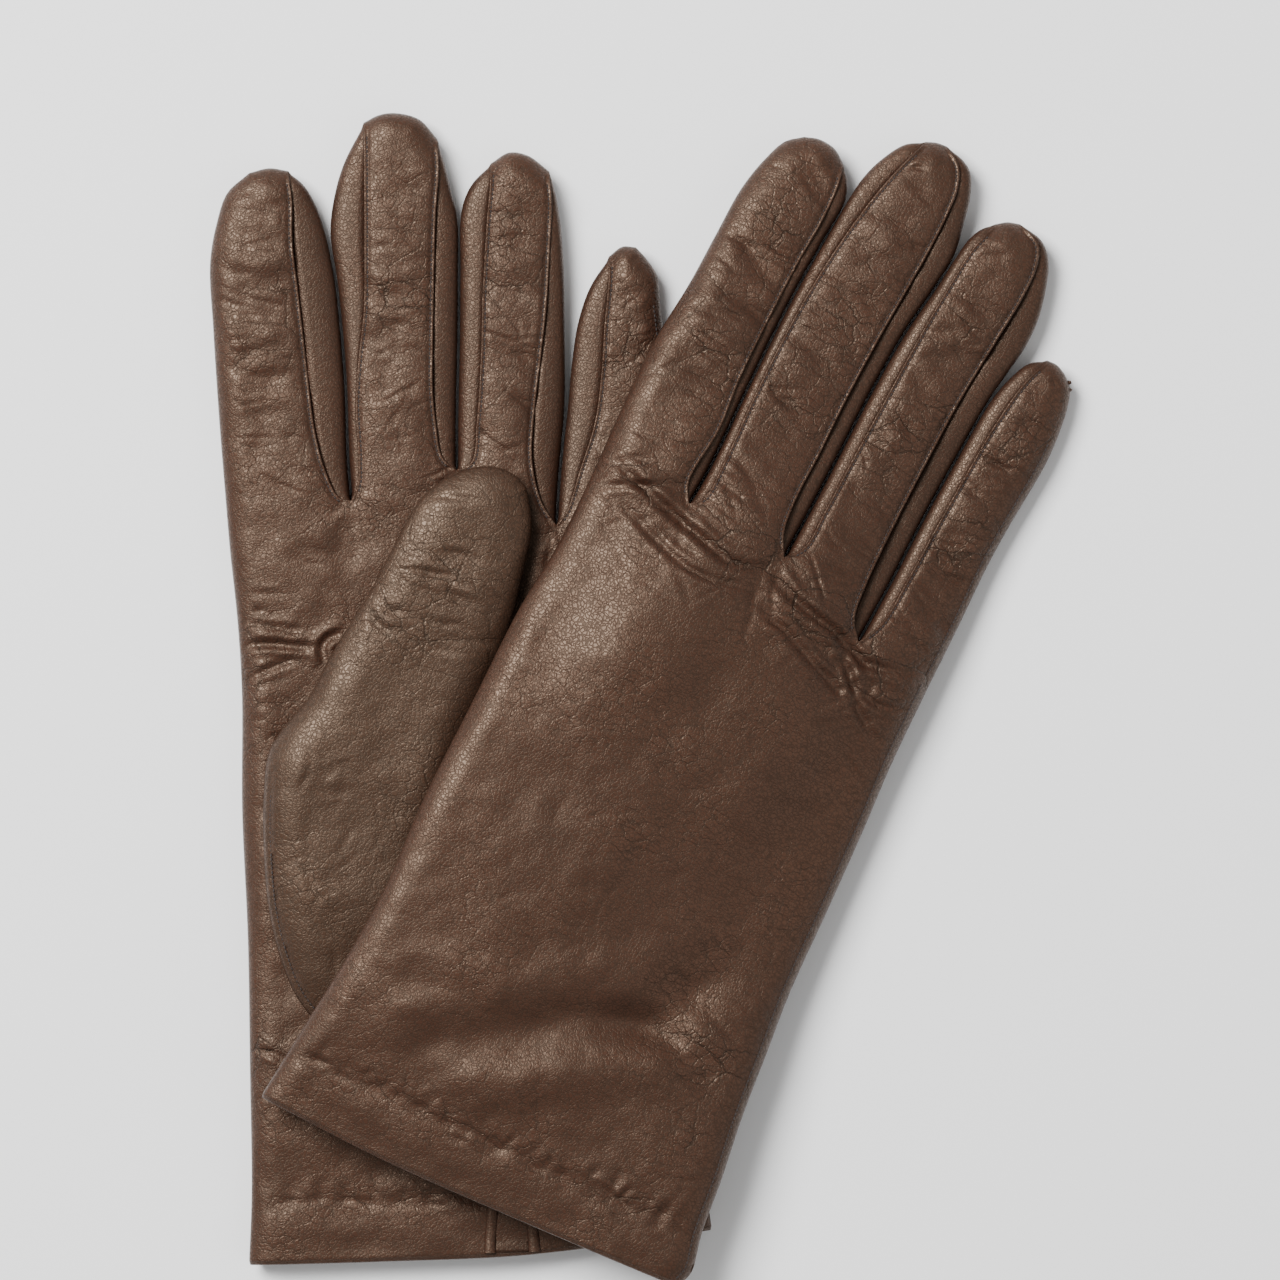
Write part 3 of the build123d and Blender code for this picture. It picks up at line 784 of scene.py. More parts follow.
def noise(tree, place, scale, **more):
    """Soft noise of a size set by its scale per mm."""
    inputs = {"Vector": place, "Scale": scale, "Detail": 3.0, **more}
    return add(tree, "ShaderNodeTexNoise", inputs)


def spread(tree, value, low, high):
    """A value moved from this range to 0 to 1."""
    return add(tree, "ShaderNodeMapRange", {"Value": value, "From Min": low, "From Max": high}).outputs[0]


def mix(tree, share, first, second, **settings):
    """A mix of two colours."""
    return add(tree, "ShaderNodeMix", {0: share, 6: first, 7: second}, data_type="RGBA", **settings).outputs[2]


def cover(tree, shader, colour, height, strength, depth):
    """Links a colour and a bump to the shader. Depth is what a height of 1 stands for, in metres."""
    tree.links.new(colour, shader.inputs["Base Color"])
    bump = add(tree, "ShaderNodeBump", {"Height": height, "Strength": strength, "Distance": depth})
    tree.links.new(bump.outputs["Normal"], shader.inputs["Normal"])


def ridges(tree, place, stretch, scale, width):
    """Creases between cells: 0 in the crease and 1 on the cell."""
    pulled = add(tree, "ShaderNodeVectorMath", {0: place, 1: (stretch, 1, 1)}, operation="MULTIPLY").outputs[0]
    cells = add(tree, "ShaderNodeTexVoronoi", {"Vector": pulled, "Scale": scale, "Randomness": 1.0},
                feature="DISTANCE_TO_EDGE")
    return add(tree, "ShaderNodeMapRange", {"Value": cells.outputs["Distance"], "From Max": width},
               interpolation_type="SMOOTHSTEP").outputs[0]


def leather_material(name, dark, light, grain):
    """Smooth nappa: fine cells, creases where it is worn, pores, and broken gloss, with painted shade in the
    cells' edges and the creases.
    """
    gloss = bpy.context.scene.glove_look.gloss
    material, tree, shader = node_tree(name)
    rest = add(tree, "ShaderNodeAttribute", attribute_name="rest").outputs["Vector"]
    # How creased the leather is: it deepens the creases' relief and the painted shade in them.
    worn = add(tree, "ShaderNodeAttribute", attribute_name="worn").outputs["Fac"]
    drift = noise(tree, rest, 0.45, Roughness=0.6).outputs["Color"]
    shift = add(tree, "ShaderNodeVectorMath", {0: drift, 1: (0.5, 0.5, 0.5)}, operation="SUBTRACT").outputs[0]
    bent = add(tree, "ShaderNodeVectorMath", {0: shift, "Scale": 1.9}, operation="SCALE").outputs[0]
    place = add(tree, "ShaderNodeVectorMath", {0: rest, 1: bent}, operation="ADD").outputs[0]
    cells, web, folds, pillows = (ridges(tree, place, stretch, scale / grain, width)
                                  for stretch, scale, width in LEATHER_NETS)
    pores = noise(tree, rest, 0.8, Roughness=0.5).outputs["Fac"]
    patch = noise(tree, rest, 0.06).outputs["Fac"]
    loose = spread(tree, patch, 0.38, 0.68)
    slack = sums(tree, "ADD", sums(tree, "MULTIPLY", loose, 0.7), sums(tree, "MULTIPLY", worn, 0.5))
    layers = [(cells,), (pores,), (web, slack), (folds, worn), (pillows, worn)]
    height = sums(tree, "ADD", *(sums(tree, "MULTIPLY", *layer, depth)
                                 for layer, depth in zip(layers, LEATHER_DEPTHS)))
    colour = mix(tree, spread(tree, patch, 0.2, 0.8), (*dark, 1), (*light, 1))
    # Painted shade: the colour darkens to half in the lines between the grain's cells, and further in the web's
    # and the folds' creases, most where the leather is slack or creased.
    shade = add(tree, "ShaderNodeMapRange", {"Value": cells, "To Min": 0.5, "To Max": 1.0}).outputs[0]
    for net, share, amount in ((web, slack, 0.55), (folds, worn, 0.6)):
        gap = sums(tree, "MULTIPLY", sums(tree, "SUBTRACT", 1.0, net), sums(tree, "MULTIPLY", share, amount))
        shade = sums(tree, "MULTIPLY", shade, sums(tree, "SUBTRACT", 1.0, gap))
    shade = sums(tree, "MAXIMUM", shade, 0.25)
    grey = add(tree, "ShaderNodeCombineColor", {"Red": shade, "Green": shade, "Blue": shade}).outputs[0]
    cover(tree, shader, mix(tree, 1.0, colour, grey, blend_type="MULTIPLY"), height, 1.0, MM)
    rough = add(tree, "ShaderNodeMapRange", {"Value": cells, "To Min": gloss + 0.2, "To Max": gloss})
    tree.links.new(rough.outputs[0], shader.inputs["Roughness"])
    shader.inputs["Specular IOR Level"].default_value = 0.5
    shader.inputs["Specular Tint"].default_value = (1.0, 0.76, 0.57, 1)
    return material


def textile_material(name, colour, waves, strength, depth, roughness, sheen):
    """A textile drawn by waves: the ribs and rows of a fine knit, or the twist of a thread, with painted shade
    in its hollows.
    """
    material, tree, shader = node_tree(name)
    rest = add(tree, "ShaderNodeAttribute", attribute_name="rest").outputs["Vector"]
    drawn = []
    for run, scale, bent, detail in waves:
        inputs = {"Vector": rest, "Scale": scale, "Distortion": bent, "Detail": detail}
        wave = add(tree, "ShaderNodeTexWave", inputs, wave_type="BANDS", bands_direction=run)
        drawn.append(wave.outputs["Fac"])
    height = sums(tree, "MULTIPLY", *drawn)
    # Painted shade: the colour darkens to 0.6 of itself in the waves' hollows, between the knit's loops and in
    # the thread's twist.
    dark = tuple(0.6 * c for c in colour)
    cover(tree, shader, mix(tree, height, (*dark, 1), (*colour, 1)), height, strength, depth)
    shader.inputs["Roughness"].default_value = roughness
    shader.inputs["Sheen Weight"].default_value = sheen
    return material


# ---- creases ----
def joint_wrinkles(glove, finger, seed):
    """Short creases across a finger at its two joints and at its foot."""
    rng = np.random.default_rng(seed)
    outline = glove.outline[finger]
    left, right = (glove.curve(finger, f"{side}_seam" if f"{side}_seam" in outline else side, 60)
                   for side in ("left", "right"))
    calm = 0.55 if glove.side == "left" else 1.0
    made = []
    for share, reach, count in ((0.12, 0.10, 6), (0.40, 0.12, 13), (0.70, 0.07, 8), (0.9, 0.04, 3)):
        for k in range(int(count * bpy.context.scene.glove_shape.wrinkle_count)):
            at = int(np.clip(59 * (share + rng.normal(0, reach)), 1, 57))
            place = rng.uniform(0.1, 0.9)
            across = right[at] - left[at]
            angle = math.atan2(across[1], across[0]) + rng.normal(0, 0.32)
            soft = k % 3 == 0
            length = np.linalg.norm(across) * rng.uniform(0.35, 1.0) * (1.3 if soft else 1)
            width = rng.uniform(1.1, 2.0) if soft else rng.uniform(0.4, 0.75)
            depth = calm * (rng.uniform(0.25, 0.5) if soft else rng.uniform(0.12, 0.36))
            made.append(Wrinkle(left[at] + place * across, angle, length, width, depth, rng.normal(0, 0.8)))
    return made


def crotch_puckers(glove, seed):
    """Creases that run out from the foot of each gap between two fingers."""
    rng = np.random.default_rng(seed)
    made = []
    for x, y in glove.outline["crotches"]:
        for angle in np.linspace(-2.85, -0.3, 8):
            angle += rng.normal(0, 0.14)
            length = rng.uniform(5, 14)
            reach = 1.0 + length / 2
            centre = (x + math.cos(angle) * reach, y + math.sin(angle) * reach)
            made.append(Wrinkle(centre, angle, length, rng.uniform(0.6, 1.3), rng.uniform(0.08, 0.24),
                                rng.normal(0, 0.5)))
    return made


def hem_gathers(seed):
    """Small puckers where the cuff's hem is caught down inside: one across the catch and one along it."""
    rng = np.random.default_rng(seed)
    made = []
    x = -46.0
    while x < 46:
        x += rng.uniform(2.0, 6.5)
        y = 10.5 + rng.normal(0, 0.8)
        made.append(Wrinkle((x, y + 2.2), math.pi / 2 + rng.normal(0, 0.35), rng.uniform(4, 9),
                            rng.uniform(0.6, 1.1), rng.uniform(0.12, 0.34)))
        made.append(Wrinkle((x + rng.normal(0, 1), y), rng.normal(0, 0.22), rng.uniform(4, 11),
                            rng.uniform(0.5, 0.9), rng.uniform(0.14, 0.36)))
    return made


def short_creases(rng, count, centre, size, angle, swing, length, width, depth, bend):
    """A patch of short creases that mostly run one way. Length, width and depth are ranges in mm."""
    return [Wrinkle(rng.normal(centre, size), rng.normal(angle, swing), rng.uniform(*length),
                    rng.uniform(*width), rng.uniform(*depth), rng.normal(0, bend)) for _ in range(count)]


def crease_glove(glove):
    """Gives a glove all its creases. Seeds differ by glove, finger and face."""
    right = glove.side == "right"
    for number, finger in enumerate(FINGERS):
        for face, seed in (("up", 7), ("down", 57)):
            glove.wrinkles[face] += joint_wrinkles(glove, finger, 100 * number + seed + 500 * right)
    for face in FACES:
        glove.wrinkles[face] += crotch_puckers(glove, 31 + 6 * right) + hem_gathers(41 + 2 * right)
    shown = glove.wrinkles["up"]
    shown += [Crease(*row) for row in CREASES[glove.side]] + [Mound(*row) for row in MOUNDS[glove.side]]
    for seed, count, centre, size, angle, swing, long, deep in PATCHES[glove.side]:
        shown += short_creases(np.random.default_rng(seed), count, centre, size, angle, swing,
                               (0.5 * long, 1.4 * long), (0.45, 0.9), (0.4 * deep, deep), 0.6)


# ---- the hand ----
def hand_plan(glove, rows, columns):
    """The hand's grid in plan. Its far edge runs through the three crotches."""
    edge, far = glove.outline["index_edge"], glove.outline["little_edge"]
    stops = [edge[-1], *glove.outline["crotches"], far[-1]]
    parts = [np.array(a) + (np.array(b) - np.array(a)) * crowded(columns)[:, None]
             for a, b in zip(stops[:-1], stops[1:])]
    top = np.vstack([part[:-1] for part in parts[:-1]] + [parts[-1]])
    share = share_of(top)
    bottom = resample(spline([edge[0], (-20, -1.6), (10, -1.0), far[0]], 60), share)
    left, right = spline(edge, rows), spline(far, rows)
    return coons(bottom, top, left, right)


def hem_rows(glove, cuff_line, face):
    """The turned-in hem, from its end inside the cuff, out round the cuff's edge."""
    rows, rests = [], []
    for deep, inset in HEM_ROWS:
        plan = cuff_line + np.array([0.0, max(deep, 0.0)])
        height = glove.half(plan, face) + glove.relief(plan, face) * (1 - inset)
        height = np.where(height > 2.6 * inset, height - 1.3 * inset, height * 0.5)
        narrow = 1 - 0.012 * inset - 0.0024 * max(deep, 0)
        plan = plan * np.array([narrow, 1.0]) + np.array([0.0, min(deep, 0.0)])
        rows.append(glove.to_row(plan, glove.middle(plan) + FACES[face] * height))
        rests.append(with_height(plan, height + 40))
    return np.array(rows), np.array(rests)


def build_hand(glove):
    """The hand of the trank: both faces in one tube, with the hem turned in."""
    side = glove.side
    full = hand_plan(glove, 270, 43)
    sheets = []
    for face, sign in FACES.items():
        plan = full if face == "up" else full[:, -4:0:-3]
        line = 10.8 + 0.9 * wander(plan * ACROSS, 30, 19)
        caught = 0.34 + 0.3 * wander(plan * ACROSS, 24, 29)
        y = plan[..., 1]
        hem = 0.35 * np.exp(-((y - 5) / 3.6) ** 2) - caught * np.exp(-((y - line) / 2.0) ** 2)
        leaf = glove.leaf(plan, face, -1, hem * ease(glove.near(plan)[0] / 5))
        turned, rest = hem_rows(glove, plan[0], face)
        inside = turned, rest * np.array([1, 1, sign]), np.zeros(turned.shape[:2]), np.zeros(turned.shape)
        sheets.append([np.concatenate(pair) for pair in zip(inside, leaf)])
    ring, rest, worn, border = (np.concatenate(pair, axis=1) for pair in zip(*sheets))
    return make_piece(f"{side}_glove_trank", [f"{side}_trank"], [(ring, rest, False, True, worn, border)],
                      "leather", f"{side}_hand")


# ---- the fingers ----
def leaf_plan(glove, finger, rows, columns):
    """A finger leaf's grid in plan, from the crotch line to the tip."""
    outline = glove.outline[finger]
    left, right = (resample(spline(outline.get(f"{side}_seam", outline[side]), rows), crowded(rows, 0.25))
                   for side in ("left", "right"))
    share = crowded(columns)
    top = resample(spline(outline["tip"], 40), share)
    bottom = left[0] + (right[0] - left[0]) * share[:, None]
    return coons(bottom, top, left, right)


def finger_zone(glove, finger):
    """Where a finger's leather bends."""
    outline = glove.outline[finger]
    forward = np.array(outline["tip"][0]) - np.array(outline["left"][0])
    return bend_zone(glove, f"{glove.side}_{finger}_bend", forward, BEND_REACH)


def finger_nodes(side, finger, key):
    """CAD nodes of one kind for a finger, with those past the left little finger's joint."""
    names = [f"{side}_{finger}_{key}", f"{side}_{finger}_tip_{key}"]
    return [name for name in names if name in frame["nodes"]]


def build_stall(glove, finger):
    """A finger's two leaves, joined round its tip."""
    full = leaf_plan(glove, finger, 210, 43)
    parts = []
    for face in FACES:
        points, rest, *more = glove.leaf(full if face == "up" else full[:, ::3], face, 0)
        parts.append((points, rest, face == "down", False, *more))
    return make_piece(f"{glove.side}_glove_{finger}_stall", finger_nodes(glove.side, finger, "stall"), parts,
                      "leather", finger_zone(glove, finger), bpy.context.scene.glove_shape.leather)


def build_fourchette(glove, finger, wall):
    """A side wall, from the seam on one face round to the seam on the other."""
    outline = glove.outline[finger]
    rows, columns, squareness = 130, 19, 0.72
    shares = crowded(rows, 0.3)
    seam = resample(spline(outline[f"{wall}_seam"], rows), shares)
    edge = resample(spline(outline[wall], rows), shares)
    away = edge - seam
    room = np.linalg.norm(away, axis=1, keepdims=True)
    away /= np.maximum(room, 0.3)
    edge = edge - away * np.minimum(0.3, room / 3)
    under = seam - away * np.minimum(0.7, room * 0.4)
    up, down = (np.maximum(glove.half(seam, face, leaf=False) - 0.45, 0.0) for face in FACES)
    middle = glove.middle(edge)
    pucker = 0.03 * np.sin(share_of(seam) * len(seam) * 2.1)
    points, rests = [], []
    for turn in np.linspace(0, math.pi, columns):
        plan = under + (edge - under) * math.sin(turn) ** squareness
        high = up if turn < math.pi / 2 else down
        z = high * math.copysign(abs(math.cos(turn)) ** squareness, math.cos(turn))
        folds = pucker * math.sin(2 * turn) * ease(room[:, 0] / 4)
        points.append(glove.to_row(plan, middle + z + folds))
        rests.append(with_height(plan, z + 60))
    grid, rest = np.stack(points, axis=1), np.stack(rests, axis=1)
    key = "index_fourchette" if wall == "left" else "little_fourchette"
    nodes = finger_nodes(glove.side, finger, key) or finger_nodes(glove.side, finger, "fourchette")
    return make_piece(f"{glove.side}_glove_{finger}_{key}", nodes, [(grid, rest, wall == "left", False)],
                      "fourchette_leather", finger_zone(glove, finger), 0.5)


# ---- stitches ----
def stitch_mesh(lines, pitch, length, radius):
    """Small rounded stitches along lines of row-frame points."""
    points, faces, rests = [], [], []
    sides, start = STITCH_SIDES, 0
    for line in lines:
        size = np.linalg.norm(np.diff(line, axis=0), axis=1).sum() / MM
        count = max(int(size / pitch), 1)
        spots = resample(line, (np.arange(count) + 0.5) / count)
        ahead = resample(line, np.clip((np.arange(count) + 0.75) / count, 0, 1))
        for spot, after in zip(spots, ahead):
            run = after - spot
            run /= max(np.linalg.norm(run), 1e-9)
            flat = np.cross(run, (0, 0, 1.0))
            flat /= max(np.linalg.norm(flat), 1e-9)
            tall = np.cross(flat, run)
            for share, wide in STITCH_PROFILE:
                for k in range(sides):
                    angle = 2 * math.pi * k / sides
                    ring = flat * math.cos(angle) + tall * math.sin(angle) * 0.8
                    points.append(spot + run * share * length / 2 * MM + ring * wide * radius * MM)
                    rests.append((share * length, k / sides, 0))
            for r in range(len(STITCH_PROFILE) - 1):
                for k in range(sides):
                    a, b = start + r * sides + k, start + r * sides + (k + 1) % sides
                    faces.append((a, b, b + sides, a + sides))
            faces.append(tuple(start + k for k in reversed(range(sides))))
            faces.append(tuple(start + (len(STITCH_PROFILE) - 1) * sides + k for k in range(sides)))
            start += len(STITCH_PROFILE) * sides
    return np.array(points), faces, np.array(rests)


def make_stitches(name, lines, body, nodes):
    """One object with all the stitches of some seams."""
    shape = bpy.context.scene.glove_shape
    points, faces, rests = stitch_mesh(lines, shape.stitch_pitch, shape.stitch_length, shape.stitch_radius)
    return settle(link_piece(new_mesh(name, points, faces, rest=rests)), "thread", body, nodes)


def inset_line(line, distance, toward):
    """A plan line moved sideways, towards a place on its inner side."""
    step = np.gradient(line, axis=0)
    step /= np.maximum(np.linalg.norm(step, axis=1, keepdims=True), 1e-9)
    side = np.stack([-step[:, 1], step[:, 0]], axis=1)
    middle = len(line) // 2
    if np.dot(side[middle], np.asarray(toward) - line[middle]) < 0:
        side = -side
    return line + side * distance


def finger_stitches(glove, finger):
    """Stitches along every seam of a finger, on both faces."""
    outline = glove.outline[finger]
    centre = (np.array(outline["left"][3]) + np.array(outline["right"][3])) / 2
    lines = []
    seams = [(name, 0.75, -4) for name in ("left_seam", "right_seam") if name in outline]
    for name, gap, end in seams + ([("right", 1.5, -24)] if finger == "little" else []):
        plan = inset_line(glove.curve(finger, name, 110), gap, centre)[3:end]
        lines += [glove.outer(plan, face, THREAD_LIFT) for face in FACES]
    return make_stitches(f"{glove.side}_glove_{finger}_stitches", lines, finger_zone(glove, finger),
                         finger_nodes(glove.side, finger, "seams"))


def outseam_stitches(glove):
    """Stitches down the little finger's side of the hand."""
    plan = inset_line(spline(glove.outline["little_edge"], 150), 1.7, (0, 80))
    lines = [glove.outer(plan, face, THREAD_LIFT) for face in FACES]
    return make_stitches(f"{glove.side}_glove_outseam", lines, f"{glove.side}_hand", [f"{glove.side}_outseam"])


# ---- the thumbs ----
def thumb_plan(side, rows, columns):
    """A thumb's grid in plan, from its foot to its tip."""
    outline = THUMBS[side]
    left, right = (resample(spline(outline[edge], rows), crowded(rows, 0.3)) for edge in ("left", "right"))
    share = crowded(columns, 0.75)
    top = resample(spline(outline["tip"], 30), share)
    bottom = left[0] + (right[0] - left[0]) * share[:, None]
    return coons(bottom, top, left, right)


def thumb_heights(glove, plan):
    """Heights of a thumb's upper and lower faces over its plan."""
    outline = THUMBS[glove.side]
    away = np.min([along(plan, spline(outline[k], 90))[0] for k in ("left", "tip", "right")], axis=0)
    if glove.side == "right":
        middle = glove.middle(plan) - HALF - THUMB_DROP
        slim = 2.2 * roll(away / 5)
        return middle + slim, middle - slim
    t = np.linspace(0, 1, plan.shape[0])[:, None] * np.ones(plan.shape[1])
    table = np.array(outline["heights"])
    edge = np.interp(t, table[:, 0], table[:, 1])
    top = np.interp(t, table[:, 0], table[:, 2])
    sewn = 1 - ease((t - 0.42) / 0.12)
    relief = 0.3 * wander(plan, 30, 91) + sum(w(plan) for w in thumb_wrinkles())
    upper = edge + (top - edge) * roll(away / 9) * (0.94 + 0.06 * roll(away / 16)) + relief * ease(away / 4)
    upper += sewn * (0.35 * np.exp(-(away / 0.9) ** 2) - 0.2 * np.exp(-((away - 1.7) / 0.6) ** 2))
    lower = edge - (edge - 9.72) * roll(away / 5)
    lower = np.where(sewn > 0.02, np.minimum(lower, edge - 0.35 * ease(away / 1.0)), lower)
    return upper, np.minimum(lower, upper - 0.05)


def thumb_wrinkles():
    """Creases over the thumb's outer joint and at its foot."""
    rng = np.random.default_rng(71)
    joint = short_creases(rng, 34, (-6, 139), (8.5, 9), -0.42, 0.35, (6, 17), (0.5, 1.1), (0.12, 0.32), 0.8)
    return joint + short_creases(rng, 20, (-28, 92), (9, 16), 0.9, 0.7, (6, 15), (0.5, 1.0), (0.06, 0.16), 0.8)


def thumb_body(glove):
    """The right thumb's body, the hand it lies under; for the left thumb, the bend zone of its joint over the
    palm.
    """
    if glove.side == "right":
        return "right_hand"
    return bend_zone(glove, "left_thumb_bend", (math.sin(THUMB_TURN), math.cos(THUMB_TURN)), THUMB_BEND_REACH)


def build_thumb(glove):
    """The thumb: a pillow sewn to the palm along its foot, and a free tube from there on."""
    side = glove.side
    plan = thumb_plan(side, 260, 88)
    upper, lower = thumb_heights(glove, plan)
    # How creased the thumb is, for its relief and the painted shade in its creases.
    worn = 0.75 * np.exp(-((plan[..., 0] + 6) / 13) ** 2 - ((plan[..., 1] - 139) / 13) ** 2) + 0.18
    worn = np.clip(worn * (0.75 + 0.5 * wander(plan, 20, 78, 2)), 0, 1)
    parts = [(glove.to_row(plan, heights), with_height(plan, (upper - lower) / 2 * sign), sign < 0, False, worn)
             for heights, sign in ((upper, 1), (lower, -1))]
    nodes = [node for node in (f"{side}_thumb", f"{side}_thumb_tip") if node in frame["nodes"]]
    return make_piece(f"{side}_glove_thumb", nodes, parts, "thumb_leather", thumb_body(glove), rest_lift=90)


def thumb_stitches(glove):
    """Stitches along a thumb's seam to the palm."""
    side = glove.side
    line = spline(THUMBS[side]["left"], 160)
    line = line[2:70] if side == "left" else line[2:]
    plan = inset_line(line, 1.7 if side == "left" else 1.4, (-20, 85))
    if side == "left":
        height = thumb_line_height(glove, plan)
    else:
        height = glove.middle(plan) - HALF - THUMB_DROP - 1.0
    return make_stitches(f"{side}_glove_thumb_seam", [glove.to_row(plan, height)], f"{side}_hand",
                         [f"{side}_thumb_seam"])


def thumb_line_height(glove, plan):
    """Height of the left thumb's upper face beside its seam."""
    grid = thumb_plan("left", 130, 44)
    upper, _ = thumb_heights(glove, grid)
    flat, heights = grid.reshape(-1, 2), upper.reshape(-1)
    near = [np.argmin(((flat - place) ** 2).sum(1)) for place in plan]
    return heights[near] + 0.04


# ---- linings ----
def build_lining(glove):
    """The knitted lining of the hand, just inside the leather."""
    side = glove.side
    plan = hand_plan(glove, 60, 12)
    centre = plan.mean(axis=1, keepdims=True)
    plan = centre + (plan - centre) * np.array([0.955, 1.0])
    plan[..., 1] = 3.5 + (plan[..., 1] - plan[0, :, 1]) * 0.955
    sheets = {}
    for face, sign in FACES.items():
        slack = np.minimum(glove.relief(plan, face), 0)
        height = np.maximum(glove.half(plan, face, leaf=False) + 1.15 * slack - 1.75, 0.05)
        height[:, [0, -1]] = 0
        sheets[face] = glove.to_row(plan, glove.middle(plan) + sign * height), with_height(plan, sign * height)
    ring, rest = (np.concatenate([up, down[:, -2:0:-1]], axis=1) for up, down in zip(*sheets.values()))
    return make_piece(f"{side}_glove_hand_lining", [f"{side}_hand_lining"], [(ring, rest, False, True)],
                      "lining", f"{side}_hand")


def build_finger_lining(glove, finger):
    """A finger's lining: a closed sleeve inside the leather."""
    left, right = glove.curve(finger, "left", 40), glove.curve(finger, "right", 40)
    share = crowded(14, 0.8)
    top = resample(glove.curve(finger, "tip", 20), share)
    plan = coons(left[0] + (right[0] - left[0]) * share[:, None], top, left, right)
    centre = plan.mean(axis=1, keepdims=True)
    tip = plan[-1].mean(axis=0)
    plan = centre + (plan - centre) * 0.8
    plan = tip + (plan - tip) * np.array([1.0, 0.955]) - np.array([0, 2.2])
    parts = []
    away = along(plan, np.vstack([plan[:, 0], plan[-1], plan[::-1, -1]]))[0]
    height = np.maximum(SKIN_HALF * 0.8 - 1.9, 0.3) * roll(away / 3)
    for sign in FACES.values():
        points = glove.to_row(plan, glove.middle(plan) + sign * height)
        parts.append((points, with_height(plan, sign * height), sign < 0, False))
    return make_piece(f"{glove.side}_glove_{finger}_lining", finger_nodes(glove.side, finger, "lining"), parts,
                      "lining", finger_zone(glove, finger))


def build_thumb_lining(glove):
    """A thumb's lining: a closed sleeve inside the leather."""
    side = glove.side
    plan = thumb_plan(side, 40, 14)
    upper, lower = thumb_heights(glove, plan)
    middle, slim = (upper + lower) / 2, np.maximum((upper - lower) / 2 - 0.9, 0.0)
    centre = plan.mean(axis=(0, 1))
    plan = centre + (plan - centre) * 0.9
    parts = [(glove.to_row(plan, middle + sign * slim * 0.8), with_height(plan, sign * slim), sign < 0, False)
             for sign in (1, -1)]
    return make_piece(f"{side}_glove_thumb_lining", finger_nodes(side, "thumb", "lining"), parts, "lining",
                      thumb_body(glove))


# ---- the cuff's vent ----
def build_vent(glove):
    """The panel behind the vent and the two bindings beside it, on the palm's face."""
    side = glove.side
    face = "up" if side == "left" else "down"
    sign = FACES[face]
    middle_x, foot, top, rows, columns = 7.0, -1.2, 27.0, 40, 9
    y = np.linspace(foot, top, rows)
    half = 3.6 * (1 - ((y - foot) / (top - foot)) ** 1.3) + 0.5
    share = np.linspace(-1, 1, columns)
    plan = np.stack([middle_x + half[:, None] * share[None], y[:, None] + 0 * share[None]], axis=-1)
    lift = glove.lift(plan, face) + sign * 0.12
    make_piece(f"{side}_glove_vent_panel", [f"{side}_vent_panel"],
               [(glove.to_row(plan, lift), with_height(plan, lift + 120), side == "right", False)],
               "vent_leather", f"{side}_hand", 0.3)
    parts = []
    for hand in (-1, 1):
        line = np.stack([middle_x + hand * (half + 0.7), y], axis=-1)
        lift = glove.lift(line, face)
        turns = np.linspace(-0.15, math.pi + 0.15, columns)
        grid = np.stack([glove.to_row(line + np.array([math.cos(turn) * 1.3, 0.0]),
                                      lift + sign * math.sin(turn) * 0.9) for turn in turns], axis=1)
        rest = with_height(np.repeat(line[:, None], columns, 1), np.tile(np.linspace(0, 3, columns), (rows, 1)))
        parts.append((grid, rest, side == "left", False))
    make_piece(f"{side}_glove_vent_bindings", [f"{side}_vent_bindings"], parts, "binding", f"{side}_hand")


# ---- settings ----
class GloveShape(bpy.types.PropertyGroup):
    """How the leather lies, in millimetres."""
    leather: FloatProperty(name="Leather", description="Thickness of the leather, mm", default=0.6, min=0.3)
    seam_height: FloatProperty(name="Seam height", description="Height at a finger seam, share of the face",
                               default=0.76, min=0.3, max=1.0, subtype="FACTOR")
    seam_reach: FloatProperty(name="Seam reach", description="How far a leaf rounds off beside a seam, mm",
                              default=6.5, min=1.0)
    fold_round: FloatProperty(name="Fold round", description="How far the leather rounds off at a fold, mm",
                              default=6.0, min=1.0)
    stitch_groove: FloatProperty(name="Stitch groove", description="Depth of the groove under the stitches, mm",
                                 default=0.28, min=0.0)
    crease_depth: FloatProperty(name="Crease depth", description="Strength of every crease, as a factor",
                                default=1.0, min=0.0, subtype="FACTOR")
    wrinkle_count: FloatProperty(name="Wrinkle count", description="Number of short creases, as a factor",
                                 default=1.0, min=0.0, subtype="FACTOR")
    stitch_pitch: FloatProperty(name="Stitch pitch", description="From one stitch to the next, mm",
                                default=0.95)
    stitch_length: FloatProperty(name="Stitch length", description="Length of a stitch, mm", default=0.78)
    stitch_radius: FloatProperty(name="Stitch radius", description="Half a stitch's thickness, mm", default=0.2)


